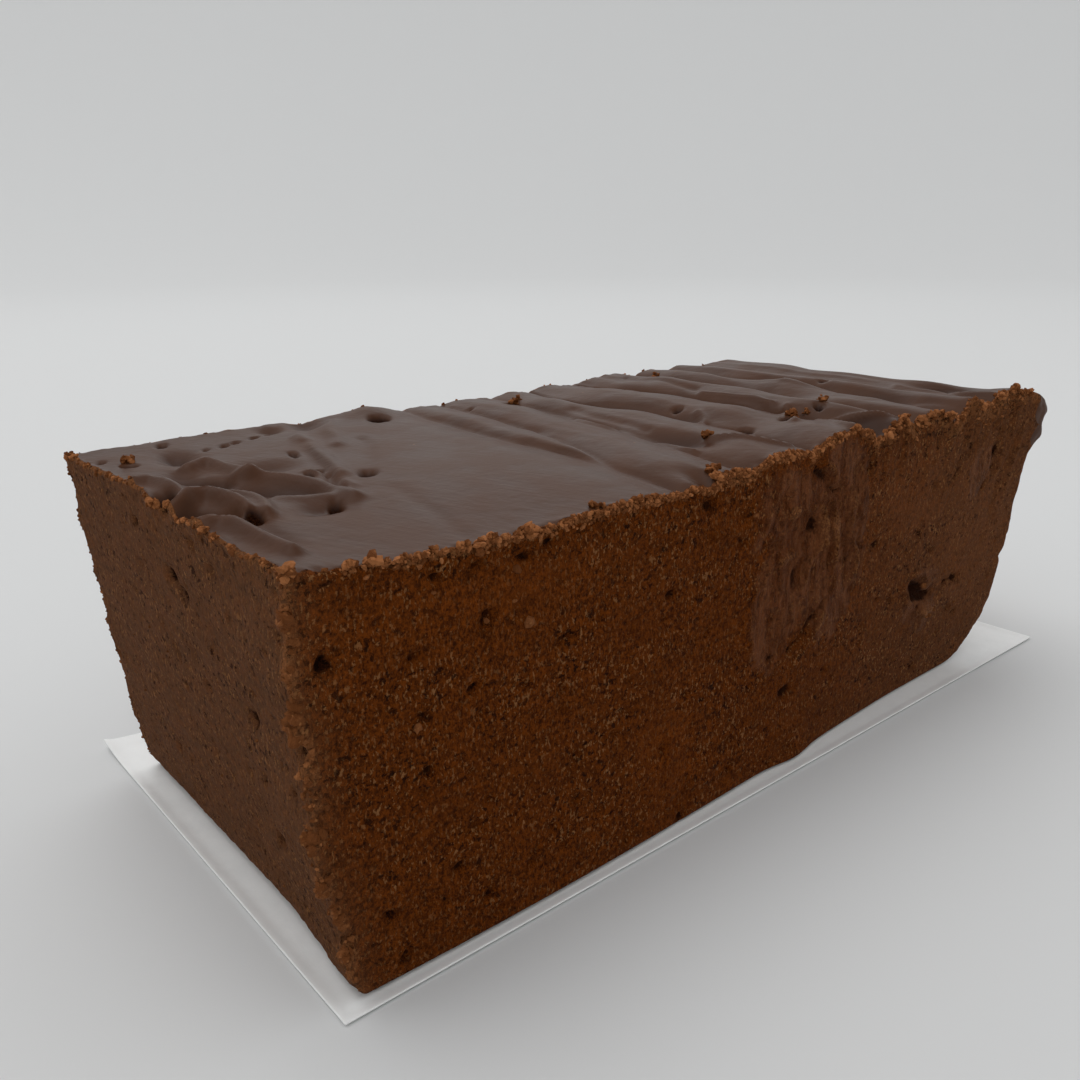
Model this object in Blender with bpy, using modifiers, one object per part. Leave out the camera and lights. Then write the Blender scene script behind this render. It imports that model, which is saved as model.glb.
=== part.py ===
"""A slice of chocolate fudge on its slip of waxed paper.

The slice is half a pound, cut from a slab that set in a pan. It keeps the pan's rounded end at +X,
three knife cuts at -X, -Y and +Y, and the top as the spatula left it: folds and hollows at -X, a smooth
plateau, then long rounded swells that run across the slice, with furrows between them.

Lengths are in millimetres until place() puts the points into the meshes, in metres. The slice's own
frame has x along it, y across it and z up from its base, with the origin at the middle of its base.
Run it with: blender --background --python part.py
"""

import math

import bmesh
import bpy
import numpy as np

COLLECTION_NAME = "chocolate_fudge"
METRES = 0.001

# The slice, at its base and at its top.
HEIGHT = 36.0
BASE_LENGTH = 101.6
BASE_WIDTH = 45.8
LEAN_PAN_END = 4.7
LEAN_CUT_END = 3.0
LEAN_FRONT = 1.8
LEAN_BACK = 1.85

# Roundings of its edges.
PAN_CORNER_RADIUS = 10.6
PAN_RIM_RADIUS = 3.5
CUT_FOOT_RADIUS = 1.8
FRONT_FOOT_RADIUS = 0.6
EDGE_RADIUS = 0.4

# How far the knife cuts stray from flat.
NEAR_EDGE_BULGE = 1.6
CUT_END_FULLNESS = 0.3
CUT_FOOT_TUCK = 1.1
FRONT_FOOT_BULGE = 2.1
FRONT_FOOT_TUCK = 0.5
FRONT_FOOT_BUMP = 0.8
FRONT_FOOT_BUMP_PLACE = 6.0
FRONT_FOOT_BUMP_RADIUS = 3.5
PAN_WALL_FULLNESS = 0.6
FACE_UNEVENNESS = 0.22
FACE_UNEVEN_PITCH = 9.0

# Cells of the surface along and across the slice, and the heights at which the walls are cut.
CELLS_ALONG = 62
CELLS_ACROSS = 29
EDGE_CELL = 0.012
WALL_CUTS = (0.8, 2.2, 4.4, 7.2, 10.8, 16.0, 21.6, 26.8, 30.8, 33.4, 34.9, 35.6)

# Furrows between the swells: x where each crosses the back, the middle and the front, and the height
# of the swell on its +X side.
FURROWS = (
    (-13.4, -14.6, -14.2, 0.45),
    (-8.0, -10.2, -13.6, 0.50),
    (0.8, -2.0, -4.5, 0.60),
    (7.5, 8.2, 5.0, 0.70),
    (14.0, 18.6, 18.6, 0.90),
    (28.2, 27.8, 24.6, 0.95),
    (33.6, 36.2, 33.4, 0.75),
    (43.0, 41.4, 41.2, 0.70),
)
LAST_SWELL_END = 54.5
FURROW_DEPTH = 0.475
PLATEAU_FALL_LENGTH = 5.0

# Broad swells and sags of the top: centre x and y, radius along and across, height.
SWELLS = (
    (-54.0, 3.0, 8.0, 15.0, 0.85),
    (-53.0, -23.0, 3.5, 3.5, 0.60),
    (-33.0, -27.0, 18.0, 13.0, -1.15),
    (-9.0, -27.0, 8.0, 9.0, -0.60),
    (19.0, -27.0, 6.0, 6.0, 0.70),
    (50.0, -25.0, 7.0, 6.0, 0.70),
    (-18.5, 23.0, 3.6, 3.2, 0.60),
    (-34.0, 27.0, 18.0, 14.0, 0.35),
    (57.0, 2.0, 8.0, 26.0, -1.00),
)

# Hollows pressed into the top: centre x and y, radius along and across, turn in degrees, depth.
HOLLOWS = (
    (-51.4, -3.8, 2.0, 4.2, -8.0, 1.30),
    (-43.4, -2.6, 4.8, 2.5, -30.0, 0.80),
    (-43.6, -9.3, 3.4, 2.0, 5.0, 0.50),
    (-47.4, 7.0, 3.2, 2.7, 20.0, 0.95),
    (-46.0, 15.0, 1.8, 2.7, -10.0, 0.75),
    (-40.2, 6.0, 3.0, 2.0, -15.0, 0.40),
    (-28.0, 22.3, 1.8, 3.0, -25.0, 0.60),
    (-1.4, -11.0, 1.9, 5.0, 5.0, 0.70),
    (5.6, 10.0, 1.7, 1.9, 0.0, 0.90),
    (8.0, -13.6, 1.6, 2.2, -15.0, 0.90),
    (19.2, -22.0, 3.6, 4.8, 0.0, 1.10),
    (47.4, -15.0, 1.9, 3.0, 10.0, 0.80),
    (-20.2, 19.6, 1.7, 1.8, 0.0, 1.60),
)

# Raised folds of the top: x and y of both ends and of the middle, half width, height.
FOLDS = (
    ((-53.0, 1.2), (-49.0, -0.8), (-49.2, -7.0), 1.1, 0.50),
    ((-53.6, -8.2), (-50.9, -9.5), (-49.9, -18.5), 1.2, 0.35),
    ((-49.6, 4.4), (-43.5, 2.4), (-37.0, 3.8), 1.8, 0.35),
    ((-46.8, 12.4), (-43.9, 12.0), (-43.2, 6.0), 1.0, 0.45),
    ((-31.5, 16.5), (-34.0, 8.0), (-36.8, -1.0), 1.2, 0.35),
)

# Notches where furrows run out through the front rim: x, half width, depth, reach from the rim.
NOTCHES = (
    (-10.8, 1.4, 1.30, 4.0),
    (1.0, 2.2, 0.30, 5.0),
    (24.6, 1.8, 0.50, 6.0),
    (34.0, 2.4, 0.60, 7.0),
)

# Rounded lobes squeezed out at the pan's top corner: centre, radius, push in x, y and z.
LOBES = (
    ((55.0, -24.6, 33.0), 2.4, (1.6, -0.4, 0.1)),
    ((54.6, -24.4, 29.9), 1.4, (0.9, -0.2, 0.0)),
)

# The slip of waxed paper, cut a little larger than the slice.
PAPER_LEFT = -53.1
PAPER_RIGHT = 60.0
PAPER_FRONT = -26.2
PAPER_BACK = 31.0
PAPER_THICKNESS = 0.3
PAPER_CELLS_ALONG = 18
PAPER_CELLS_ACROSS = 10
PAPER_EDGE_LIFT = 0.9
PAPER_EDGE_BAND = 2.6
PAPER_CURL_HEIGHT = 4.2
PAPER_CURL_REACH = 13.0
RESTING_GAP = 0.3


def clear_scene():
    """Start from an empty scene."""
    for old in list(bpy.data.objects):
        bpy.data.objects.remove(old, do_unlink=True)


def new_collection(name):
    """Return a collection of that name, linked to the scene."""
    collection = bpy.data.collections.new(name)
    bpy.context.scene.collection.children.link(collection)
    return collection


def principled(name, colour, roughness):
    """Return a material with a Principled BSDF of one colour and roughness."""
    material = bpy.data.materials.new(name)
    material.use_nodes = True
    shader = material.node_tree.nodes["Principled BSDF"]
    shader.inputs["Base Color"].default_value = (*colour, 1.0)
    shader.inputs["Roughness"].default_value = roughness
    shader.inputs["Metallic"].default_value = 0.0
    return material


def smooth_step(low, high, value):
    """Return 0 below low and 1 above high, with a smooth rise between them."""
    share = np.clip((value - low) / (high - low), 0.0, 1.0)
    return share * share * (3.0 - 2.0 * share)


def bell(distance):
    """Return a bell curve of a distance that is counted in radii."""
    return np.exp(-distance * distance)


def read_points(bm):
    """Return the mesh's points as an array with one row each."""
    return np.array([vert.co[:] for vert in bm.verts])


def write_points(bm, points):
    """Move the mesh's points to the rows of an array."""
    for vert, point in zip(bm.verts, points):
        vert.co = point


def edge_stations(cells):
    """Return the cuts between -1 and 1 of one axis, closer together next to both ends."""
    inner = np.linspace(-1.0 + 4.0 * EDGE_CELL, 1.0 - 4.0 * EDGE_CELL, cells - 3)
    return np.concatenate(([-1.0 + EDGE_CELL], inner, [1.0 - EDGE_CELL]))


def lattice_cube():
    """Return a cube from -1 to 1 whose faces are cut into the slice's cells."""
    bm = bmesh.new()
    bmesh.ops.create_cube(bm, size=2.0)
    heights = np.array(WALL_CUTS) / (HEIGHT / 2.0) - 1.0
    for axis, stations in enumerate((edge_stations(CELLS_ALONG), edge_stations(CELLS_ACROSS), heights)):
        normal = [0.0, 0.0, 0.0]
        normal[axis] = 1.0
        for station in stations:
            middle = [value * station for value in normal]
            geometry = bm.verts[:] + bm.edges[:] + bm.faces[:]
            bmesh.ops.bisect_plane(bm, geom=geometry, dist=1e-6, plane_co=middle, plane_no=normal)
    return bm


def round_corner(points, axes, signs, edges, radius):
    """Round one long edge of the box, by drawing squares about its centre line in to arcs."""
    first, second = axes
    centre_a = edges[0] - signs[0] * radius
    centre_b = edges[1] - signs[1] * radius
    out_a = np.maximum((points[:, first] - centre_a) * signs[0], 0.0)
    out_b = np.maximum((points[:, second] - centre_b) * signs[1], 0.0)
    inside = (out_a > 0.0) & (out_b > 0.0)
    length = np.where(inside, np.hypot(out_a, out_b), 1.0)
    share = np.where(inside, np.maximum(out_a, out_b) / length, 1.0)
    points[:, first] = np.where(inside, centre_a + signs[0] * out_a * share, points[:, first])
    points[:, second] = np.where(inside, centre_b + signs[1] * out_b * share, points[:, second])


def round_edges(points):
    """Round the pan's corner and rim, the foot of each cut and the cut edges."""
    half_length = BASE_LENGTH / 2.0
    half_width = BASE_WIDTH / 2.0
    round_corner(points, (0, 2), (1, -1), (half_length, 0.0), PAN_CORNER_RADIUS)
    round_corner(points, (0, 2), (1, 1), (half_length, HEIGHT), PAN_RIM_RADIUS)
    round_corner(points, (0, 2), (-1, -1), (-half_length, 0.0), CUT_FOOT_RADIUS)
    round_corner(points, (0, 2), (-1, 1), (-half_length, HEIGHT), EDGE_RADIUS)
    for side in (-1, 1):
        round_corner(points, (1, 2), (side, -1), (side * half_width, 0.0), FRONT_FOOT_RADIUS)
        round_corner(points, (1, 2), (side, 1), (side * half_width, HEIGHT), EDGE_RADIUS)
        for end in (-1, 1):
            round_corner(points, (0, 1), (end, side), (end * half_length, side * half_width), EDGE_RADIUS)


def lean_walls(points):
    """Lean the four walls out towards the top, each by its own amount."""
    rise = points[:, 2] / HEIGHT
    along = points[:, 0] / (BASE_LENGTH / 2.0)
    across = points[:, 1] / (BASE_WIDTH / 2.0)
    points[:, 0] += rise * np.where(along > 0.0, LEAN_PAN_END * along, LEAN_CUT_END * along)
    points[:, 1] += rise * np.where(across > 0.0, LEAN_BACK * across, LEAN_FRONT * across)


def stray_walls(points):
    """Bow the walls: the near upright edge and the pan's wall swell, and so does the front's foot."""
    x, y, z = points.T.copy()
    rise = np.clip(z / HEIGHT, 0.0, 1.0)
    left = np.clip(-x / (BASE_LENGTH / 2.0), 0.0, 1.0) ** 8
    near = bell((y + BASE_WIDTH / 2.0) / 7.0)
    ragged = 0.75 + 0.25 * np.cos(z * math.tau / 15.5 + 0.6)
    points[:, 0] -= NEAR_EDGE_BULGE * left * near * np.sin(math.pi * rise) ** 0.6 * ragged
    points[:, 0] += left * (1.0 - near) * (CUT_FOOT_TUCK * (1.0 - rise) ** 6 - CUT_END_FULLNESS)
    front = np.clip(-y / (BASE_WIDTH / 2.0), 0.0, 1.0) ** 8
    swelling = FRONT_FOOT_BULGE * bell((x + 33.0) / 46.0) * (1.0 - rise) ** 1.2
    tuck = FRONT_FOOT_TUCK * smooth_step(8.0, 30.0, x) * (1.0 - rise) ** 3
    bump = FRONT_FOOT_BUMP * bell((x - FRONT_FOOT_BUMP_PLACE) / FRONT_FOOT_BUMP_RADIUS)
    points[:, 1] += front * (tuck - swelling - bump * (1.0 - rise) ** 12)
    right = np.clip(x / (BASE_LENGTH / 2.0), 0.0, 1.0) ** 8
    points[:, 0] += PAN_WALL_FULLNESS * right * np.sin(math.pi * rise) ** 0.7


def unevenness(points):
    """Return a slow wave of all three coordinates, between -1 and 1."""
    x, y, z = points.T / FACE_UNEVEN_PITCH * math.tau
    first = np.sin(x * 0.9 + 0.7 * y + 1.3) * np.cos(z * 0.8 - 0.5 * x + 0.4)
    second = np.sin(z * 1.3 + 0.6 * y + 2.1) * np.cos(x * 0.55 + 0.9 * y)
    return 0.5 * (first + second)


def furrow_place(back, middle, front, y):
    """Return the x of a furrow that passes through three places, at each y."""
    across = y / (BASE_WIDTH / 2.0)
    tilt = (back - front) / 2.0
    bow = (back + front) / 2.0 - middle
    return middle + tilt * across + bow * across * across


def swell_relief(x, y):
    """Return the plateau and the rounded swells, each a parabola between its furrow and the next."""
    places = [furrow_place(back, middle, front, y) for back, middle, front, _ in FURROWS]
    places.append(np.full_like(x, LAST_SWELL_END))
    relief = FURROW_DEPTH * (smooth_step(0.0, PLATEAU_FALL_LENGTH, places[0] - x) - 1.0)
    for index, furrow in enumerate(FURROWS):
        left = places[index]
        span = places[index + 1] - left
        share = np.clip((x - left) / span, 0.0, 1.0)
        relief += furrow[3] * (4.0 * share * (1.0 - share)) ** 0.8
    return relief


def hollow_relief(x, y):
    """Return the oval hollows, each as deep as its own bell."""
    relief = np.zeros_like(x)
    for centre_x, centre_y, along, across, turn, depth in HOLLOWS:
        cosine = math.cos(math.radians(turn))
        sine = math.sin(math.radians(turn))
        u = ((x - centre_x) * cosine + (y - centre_y) * sine) / along
        v = ((y - centre_y) * cosine - (x - centre_x) * sine) / across
        relief -= depth * bell(np.hypot(u, v))
    return relief


def distance_to_line(x, y, start, end):
    """Return the distance in plan from each point to a straight stretch."""
    step_x = end[0] - start[0]
    step_y = end[1] - start[1]
    share = ((x - start[0]) * step_x + (y - start[1]) * step_y) / (step_x ** 2 + step_y ** 2)
    share = np.clip(share, 0.0, 1.0)
    return np.hypot(x - start[0] - share * step_x, y - start[1] - share * step_y)


def fold_relief(x, y):
    """Return the raised folds, each a rounded crest along a bent line."""
    relief = np.zeros_like(x)
    for start, middle, end, half_width, height in FOLDS:
        first = distance_to_line(x, y, start, middle)
        second = distance_to_line(x, y, middle, end)
        relief += height * bell(np.minimum(first, second) / half_width)
    return relief


def rim_relief(x, y):
    """Return the notches of the front rim and the broad swells and sags of the whole top."""
    relief = np.zeros_like(x)
    front = -BASE_WIDTH / 2.0 - LEAN_FRONT
    for place, half_width, depth, reach in NOTCHES:
        relief -= depth * bell((x - place) / half_width) * bell((y - front) / reach)
    for centre_x, centre_y, along, across, height in SWELLS:
        relief += height * bell(np.hypot((x - centre_x) / along, (y - centre_y) / across))
    return relief


def shape_top(points):
    """Raise and lower the top by its relief, which fades down the walls to nothing at the base."""
    x, y, z = points.T.copy()
    relief = swell_relief(x, y) + hollow_relief(x, y) + fold_relief(x, y) + rim_relief(x, y)
    points[:, 2] += relief * smooth_step(0.0, 1.0, np.clip(z / HEIGHT, 0.0, 1.0))


def push_lobes(points):
    """Push the wall out into the rounded lobes at the pan's top corner."""
    for centre, radius, push in LOBES:
        nearness = bell(np.linalg.norm(points - np.array(centre), axis=1) / radius)
        points += nearness[:, None] * np.array(push)


def roughen_walls(points):
    """Make the walls uneven, and leave the flat base as it is."""
    outward = points * np.array((2.0 / BASE_LENGTH, 2.0 / BASE_WIDTH, 0.0))
    outward = np.sign(outward) * np.abs(outward) ** 10
    height = smooth_step(0.5, 4.0, points[:, 2])
    wave = FACE_UNEVENNESS * unevenness(points) * height
    points += np.clip(outward, -1.0, 1.0) * wave[:, None]


def flatten_base(bm):
    """Join the cells of the level base into one face."""
    level = [face for face in bm.faces if face.normal.z < -0.999 and face.calc_center_median().z < 0.01]
    bmesh.ops.dissolve_faces(bm, faces=level, use_verts=True)


def place(bm, lift):
    """Take the mesh from millimetres to metres and raise it."""
    for vert in bm.verts:
        vert.co.z += lift
        vert.co *= METRES


def mesh_object(name, bm, material, collection):
    """Turn a bmesh into a named object in the collection."""
    mesh = bpy.data.meshes.new(name)
    bm.to_mesh(mesh)
    bm.free()
    mesh.shade_smooth()
    mesh.set_sharp_from_angle(angle=math.radians(40.0))
    mesh.materials.append(material)
    piece = bpy.data.objects.new(name, mesh)
    collection.objects.link(piece)
    return piece


def build_block(collection):
    """Model the slice of fudge as one solid."""
    bm = lattice_cube()
    points = read_points(bm)
    points *= np.array((BASE_LENGTH / 2.0, BASE_WIDTH / 2.0, HEIGHT / 2.0))
    points[:, 2] += HEIGHT / 2.0
    round_edges(points)
    lean_walls(points)
    stray_walls(points)
    roughen_walls(points)
    shape_top(points)
    push_lobes(points)
    write_points(bm, points)
    bm.normal_update()
    flatten_base(bm)
    place(bm, PAPER_THICKNESS + RESTING_GAP)
    chocolate = principled("fudge", (0.085, 0.030, 0.011), 0.55)
    return mesh_object("fudge_block", bm, chocolate, collection)


def paper_lift(x, y):
    """Return how far the paper stands off the surface: a little along its edges, more at one corner."""
    inset = np.minimum(np.minimum(x - PAPER_LEFT, PAPER_RIGHT - x), y - PAPER_FRONT)
    edge = PAPER_EDGE_LIFT * smooth_step(0.0, 1.0, 1.0 - inset / PAPER_EDGE_BAND) ** 2
    corner = np.hypot(x - PAPER_LEFT, y - PAPER_BACK)
    curl = PAPER_CURL_HEIGHT * np.clip(1.0 - corner / PAPER_CURL_REACH, 0.0, 1.0) ** 2
    clear = smooth_step(BASE_WIDTH / 2.0 + 1.0, PAPER_BACK, y)
    return edge * 0.6 + curl * clear


def build_paper(collection):
    """Model the slip of waxed paper as a thin sheet that the slice lies on."""
    bm = bmesh.new()
    bmesh.ops.create_grid(bm, x_segments=PAPER_CELLS_ALONG, y_segments=PAPER_CELLS_ACROSS, size=1.0)
    points = read_points(bm)
    spread = np.sign(points[:, :2]) * (1.0 - (1.0 - np.abs(points[:, :2])) ** 1.5)
    points[:, 0] = (PAPER_LEFT + PAPER_RIGHT) / 2.0 + spread[:, 0] * (PAPER_RIGHT - PAPER_LEFT) / 2.0
    points[:, 1] = (PAPER_FRONT + PAPER_BACK) / 2.0 + spread[:, 1] * (PAPER_BACK - PAPER_FRONT) / 2.0
    points[:, 2] = paper_lift(points[:, 0], points[:, 1])
    write_points(bm, points)
    place(bm, 0.0)
    waxed = principled("waxed_paper", (0.78, 0.78, 0.77), 0.35)
    paper = mesh_object("wax_paper", bm, waxed, collection)
    wall = paper.modifiers.new("Thickness", "SOLIDIFY")
    wall.thickness = PAPER_THICKNESS * METRES
    wall.offset = 1.0
    return paper


def centre_on_base(pieces):
    """Move the pieces together so that the origin is the middle of their box's underside."""
    bpy.context.view_layer.update()
    depsgraph = bpy.context.evaluated_depsgraph_get()
    corners = []
    for piece in pieces:
        evaluated = piece.evaluated_get(depsgraph)
        corners.append(np.array([vert.co[:] for vert in evaluated.data.vertices]))
    every = np.concatenate(corners)
    low = every.min(axis=0)
    high = every.max(axis=0)
    shift = -np.array(((low[0] + high[0]) / 2.0, (low[1] + high[1]) / 2.0, low[2]))
    for piece in pieces:
        for vert in piece.data.vertices:
            vert.co += type(vert.co)(shift)
    return low + shift, high + shift


def main():
    """Build the slice and its paper."""
    clear_scene()
    collection = new_collection(COLLECTION_NAME)
    pieces = [build_block(collection), build_paper(collection)]
    low, high = centre_on_base(pieces)
    print("size in mm:", np.round((high - low) / METRES, 2))


main()
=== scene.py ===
"""A slice of chocolate fudge on its slip of waxed paper, dressed for close views.

The slice keeps the pan's rounded end at +X and has three knife cuts at -X, -Y and +Y. Its top is the
satin skin that set under the spatula: folds and hollows at -X, a smooth plateau, then long rounded swells
with sharp furrows between them. The cut faces are matt, grainy and full of pores, and tan crumbs cling to
the cut rims.

Shapes are worked out in millimetres in the slice's own frame: x along it, y across it and z up from its
base. place_in_frame() moves them onto the frame of the solids, in metres.
"""

import itertools
import math

import bpy
import numpy as np
from mathutils import Matrix, Vector


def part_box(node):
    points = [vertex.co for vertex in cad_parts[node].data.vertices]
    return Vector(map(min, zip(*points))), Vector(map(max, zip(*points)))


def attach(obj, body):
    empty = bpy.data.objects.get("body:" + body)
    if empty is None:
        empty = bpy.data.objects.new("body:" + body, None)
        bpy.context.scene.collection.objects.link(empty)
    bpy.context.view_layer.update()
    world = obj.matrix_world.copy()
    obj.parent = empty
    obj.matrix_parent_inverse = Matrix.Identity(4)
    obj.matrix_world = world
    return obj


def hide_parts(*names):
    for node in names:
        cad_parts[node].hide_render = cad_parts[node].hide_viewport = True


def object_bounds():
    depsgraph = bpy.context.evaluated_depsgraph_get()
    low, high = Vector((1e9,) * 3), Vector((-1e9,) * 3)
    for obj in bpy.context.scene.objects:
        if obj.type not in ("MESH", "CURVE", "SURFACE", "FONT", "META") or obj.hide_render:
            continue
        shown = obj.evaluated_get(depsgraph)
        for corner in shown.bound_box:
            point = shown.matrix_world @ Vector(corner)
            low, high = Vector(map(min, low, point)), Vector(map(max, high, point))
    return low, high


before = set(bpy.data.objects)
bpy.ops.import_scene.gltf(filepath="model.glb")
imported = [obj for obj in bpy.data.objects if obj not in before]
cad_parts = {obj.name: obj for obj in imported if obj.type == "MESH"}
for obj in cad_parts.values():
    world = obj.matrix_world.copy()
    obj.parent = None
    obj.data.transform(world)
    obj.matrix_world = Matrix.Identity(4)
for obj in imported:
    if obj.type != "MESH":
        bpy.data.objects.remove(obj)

bl_info = {
    "name": "Chocolate Fudge",
    "version": (1, 0, 0),
    "blender": (4, 5, 0),
    "location": "View3D > Sidebar > Fudge",
    "description": "Builds a cut slice of chocolate fudge with its crumbs, waxed paper and a plain stage",
    "category": "Add Mesh",
}

CAD_LOW, CAD_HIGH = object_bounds()
BOX_MARGIN = 0.0011
METRES = 0.001
MILLIMETRES = 1000.0

# Roundings of the slice's edges.
PAN_CORNER_RADIUS = 10.6
PAN_RIM_RADIUS = 3.5
CUT_FOOT_RADIUS = 1.8
FRONT_FOOT_RADIUS = 0.6
EDGE_RADIUS = 0.45

# How far the knife cuts stray from flat.
NEAR_EDGE_BULGE = 1.6
CUT_END_FULLNESS = 0.3
CUT_FOOT_TUCK = 1.1
FRONT_FOOT_BULGE = 2.1
FRONT_FOOT_TUCK = 0.5
FRONT_FOOT_BUMP = 0.8
FRONT_FOOT_BUMP_PLACE = 6.0
FRONT_FOOT_BUMP_RADIUS = 3.5
PAN_WALL_FULLNESS = 0.6
FACE_UNEVENNESS = 0.12
FACE_UNEVEN_PITCH = 9.0
SIDE_FADE = 40

# Cells of the slice's surface along, across and up, and how coarsely each side is cut.
CELLS = (300, 132, 100)
END_CROWDING = 0.06
SIDE_STEPS = {"left": 1, "right": 2, "front": 1, "back": 2, "base": 4, "top": 1}

# Furrows between the swells: x where each crosses the places FURROW_Y, the height of the swell on its +X
# side, how far across that swell its crest lies, and the depth of the furrow's own groove.
FURROW_Y = (-26.0, -20.0, -14.0, -8.0, -2.0, 4.0, 10.0, 16.0, 22.0, 26.0)
FURROWS = (
    ((-14.5, -14.4, -14.4, -14.3, -14.5, -14.6, -14.6, -14.1, -13.5, -13.2), 0.61, 0.40, 0.11),
    ((-14.4, -14.4, -13.9, -12.2, -10.5, -9.3, -8.5, -8.1, -7.8, -7.6), 0.68, 0.42, 0.15),
    ((-5.2, -4.9, -4.2, -3.0, -1.8, -1.2, -0.5, -0.2, 0.2, 0.6), 0.92, 0.52, 0.18),
    ((4.6, 5.6, 7.2, 8.0, 8.4, 7.4, 5.6, 5.4, 6.6, 7.5), 1.07, 0.52, 0.28),
    ((16.8, 17.6, 18.3, 18.5, 18.3, 18.7, 17.9, 17.2, 15.6, 14.4), 1.45, 0.60, 0.60),
    ((24.8, 24.7, 24.8, 25.6, 26.9, 27.9, 26.6, 26.6, 27.8, 28.4), 1.45, 0.58, 0.29),
    ((32.6, 32.8, 33.5, 34.5, 36.5, 36.3, 34.5, 33.5, 33.6, 33.7), 1.35, 0.60, 0.24),
    ((40.0, 41.0, 41.6, 41.0, 41.0, 41.3, 41.6, 41.9, 42.4, 43.0), 1.25, 0.55, 0.22),
)
LAST_SWELL_END = 54.5
FURROW_DEPTH = 0.475
PLATEAU_FALL_LENGTH = 5.0

# Broad swells and sags of the top: centre x and y, radius along and across, height.
SWELLS = (
    (-54.0, 3.0, 8.0, 15.0, 0.75),
    (-53.0, -23.0, 3.5, 3.5, 0.55),
    (-33.0, -27.0, 18.0, 13.0, -1.15),
    (-9.0, -27.0, 8.0, 9.0, -0.60),
    (19.0, -27.0, 6.0, 6.0, 0.60),
    (50.0, -25.0, 7.0, 6.0, 0.60),
    (-18.5, 23.0, 3.6, 3.2, 0.75),
    (-34.0, 27.0, 18.0, 14.0, 0.35),
    (57.0, 2.0, 8.0, 26.0, -1.00),
)

# Hollows pressed into the top: centre x and y, radius along and across, turn in degrees, depth.
HOLLOWS = (
    (-53.2, -1.2, 1.0, 1.6, -10.0, 1.50),
    (-43.4, -10.2, 2.4, 1.6, 5.0, 0.70),
    (-49.0, 6.6, 1.6, 2.4, -30.0, 0.60),
    (-50.0, -15.0, 0.9, 4.0, 4.0, 0.40),
    (-43.6, -2.6, 4.8, 2.6, -35.0, 1.46),
    (-46.0, 15.0, 1.6, 2.6, -10.0, 1.37),
    (-40.5, 6.0, 3.0, 2.0, -15.0, 0.74),
    (-33.0, 21.5, 1.5, 1.5, 0.0, 0.78),
    (-28.0, 22.3, 1.6, 3.0, -25.0, 0.90),
    (-1.4, -11.5, 1.7, 4.8, 5.0, 1.12),
    (6.8, 5.4, 1.2, 3.0, 20.0, 0.68),
    (8.4, -3.0, 1.6, 4.2, 0.0, 0.75),
    (19.0, -22.5, 3.4, 4.2, 0.0, 1.65),
    (29.0, 1.0, 2.2, 7.0, -10.0, 0.52),
    (35.2, -13.0, 2.2, 4.5, 12.0, 0.85),
    (47.2, -16.5, 2.6, 5.5, 10.0, 1.10),
)

# Sharp-edged pits of the top: centre x and y, radius along and across, turn in degrees, depth.
TOP_PITS = (
    (-52.7, -0.5, 0.80, 1.20, -10.0, 1.10),
    (-52.2, -7.8, 0.60, 1.40, 15.0, 1.10),
    (-46.5, -2.4, 0.45, 0.90, 0.0, 0.80),
    (-49.5, -10.5, 0.62, 0.70, 0.0, 1.90),
    (-46.4, -0.6, 0.43, 0.58, 0.0, 1.01),
    (-44.0, -2.2, 0.36, 0.50, 20.0, 0.56),
    (-41.8, -9.8, 0.46, 1.05, -20.0, 1.60),
    (-36.2, 9.2, 0.36, 1.01, -12.0, 1.35),
    (-34.2, -2.2, 0.65, 1.22, -30.0, 1.46),
    (-38.9, 0.2, 0.36, 0.79, 0.0, 0.90),
    (-37.4, 1.3, 0.36, 0.72, -20.0, 0.79),
    (-45.1, 21.8, 0.43, 0.86, -20.0, 1.24),
    (-40.0, 17.3, 0.36, 0.65, -50.0, 0.90),
    (-38.5, 17.9, 0.36, 0.50, -50.0, 0.79),
    (-36.1, 18.8, 0.36, 0.58, -60.0, 0.68),
    (-34.0, 19.3, 0.36, 0.50, -50.0, 0.68),
    (-42.3, 16.7, 0.29, 0.43, -30.0, 0.56),
    (-51.0, 13.8, 0.58, 0.65, 0.0, 1.35),
    (-52.6, 17.6, 0.43, 0.72, -20.0, 0.90),
    (-47.8, 3.2, 0.29, 0.72, 0.0, 0.45),
    (-20.2, 18.9, 0.85, 0.95, 0.0, 3.40),
    (-7.0, 18.4, 0.36, 0.58, -60.0, 0.45),
    (-1.0, 17.8, 0.65, 0.72, -40.0, 1.12),
    (5.2, 9.8, 0.79, 0.86, 0.0, 1.12),
    (6.6, 5.8, 0.50, 0.86, 15.0, 0.68),
    (10.7, -0.6, 0.65, 0.58, 30.0, 1.01),
    (7.9, -13.5, 0.65, 0.86, -10.0, 1.46),
    (14.4, -14.4, 0.72, 1.58, -55.0, 1.24),
    (20.6, -14.2, 0.50, 0.94, -40.0, 1.12),
    (38.3, -2.4, 0.58, 0.79, -20.0, 0.90),
    (46.6, -15.0, 0.58, 0.72, 0.0, 0.90),
)

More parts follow.
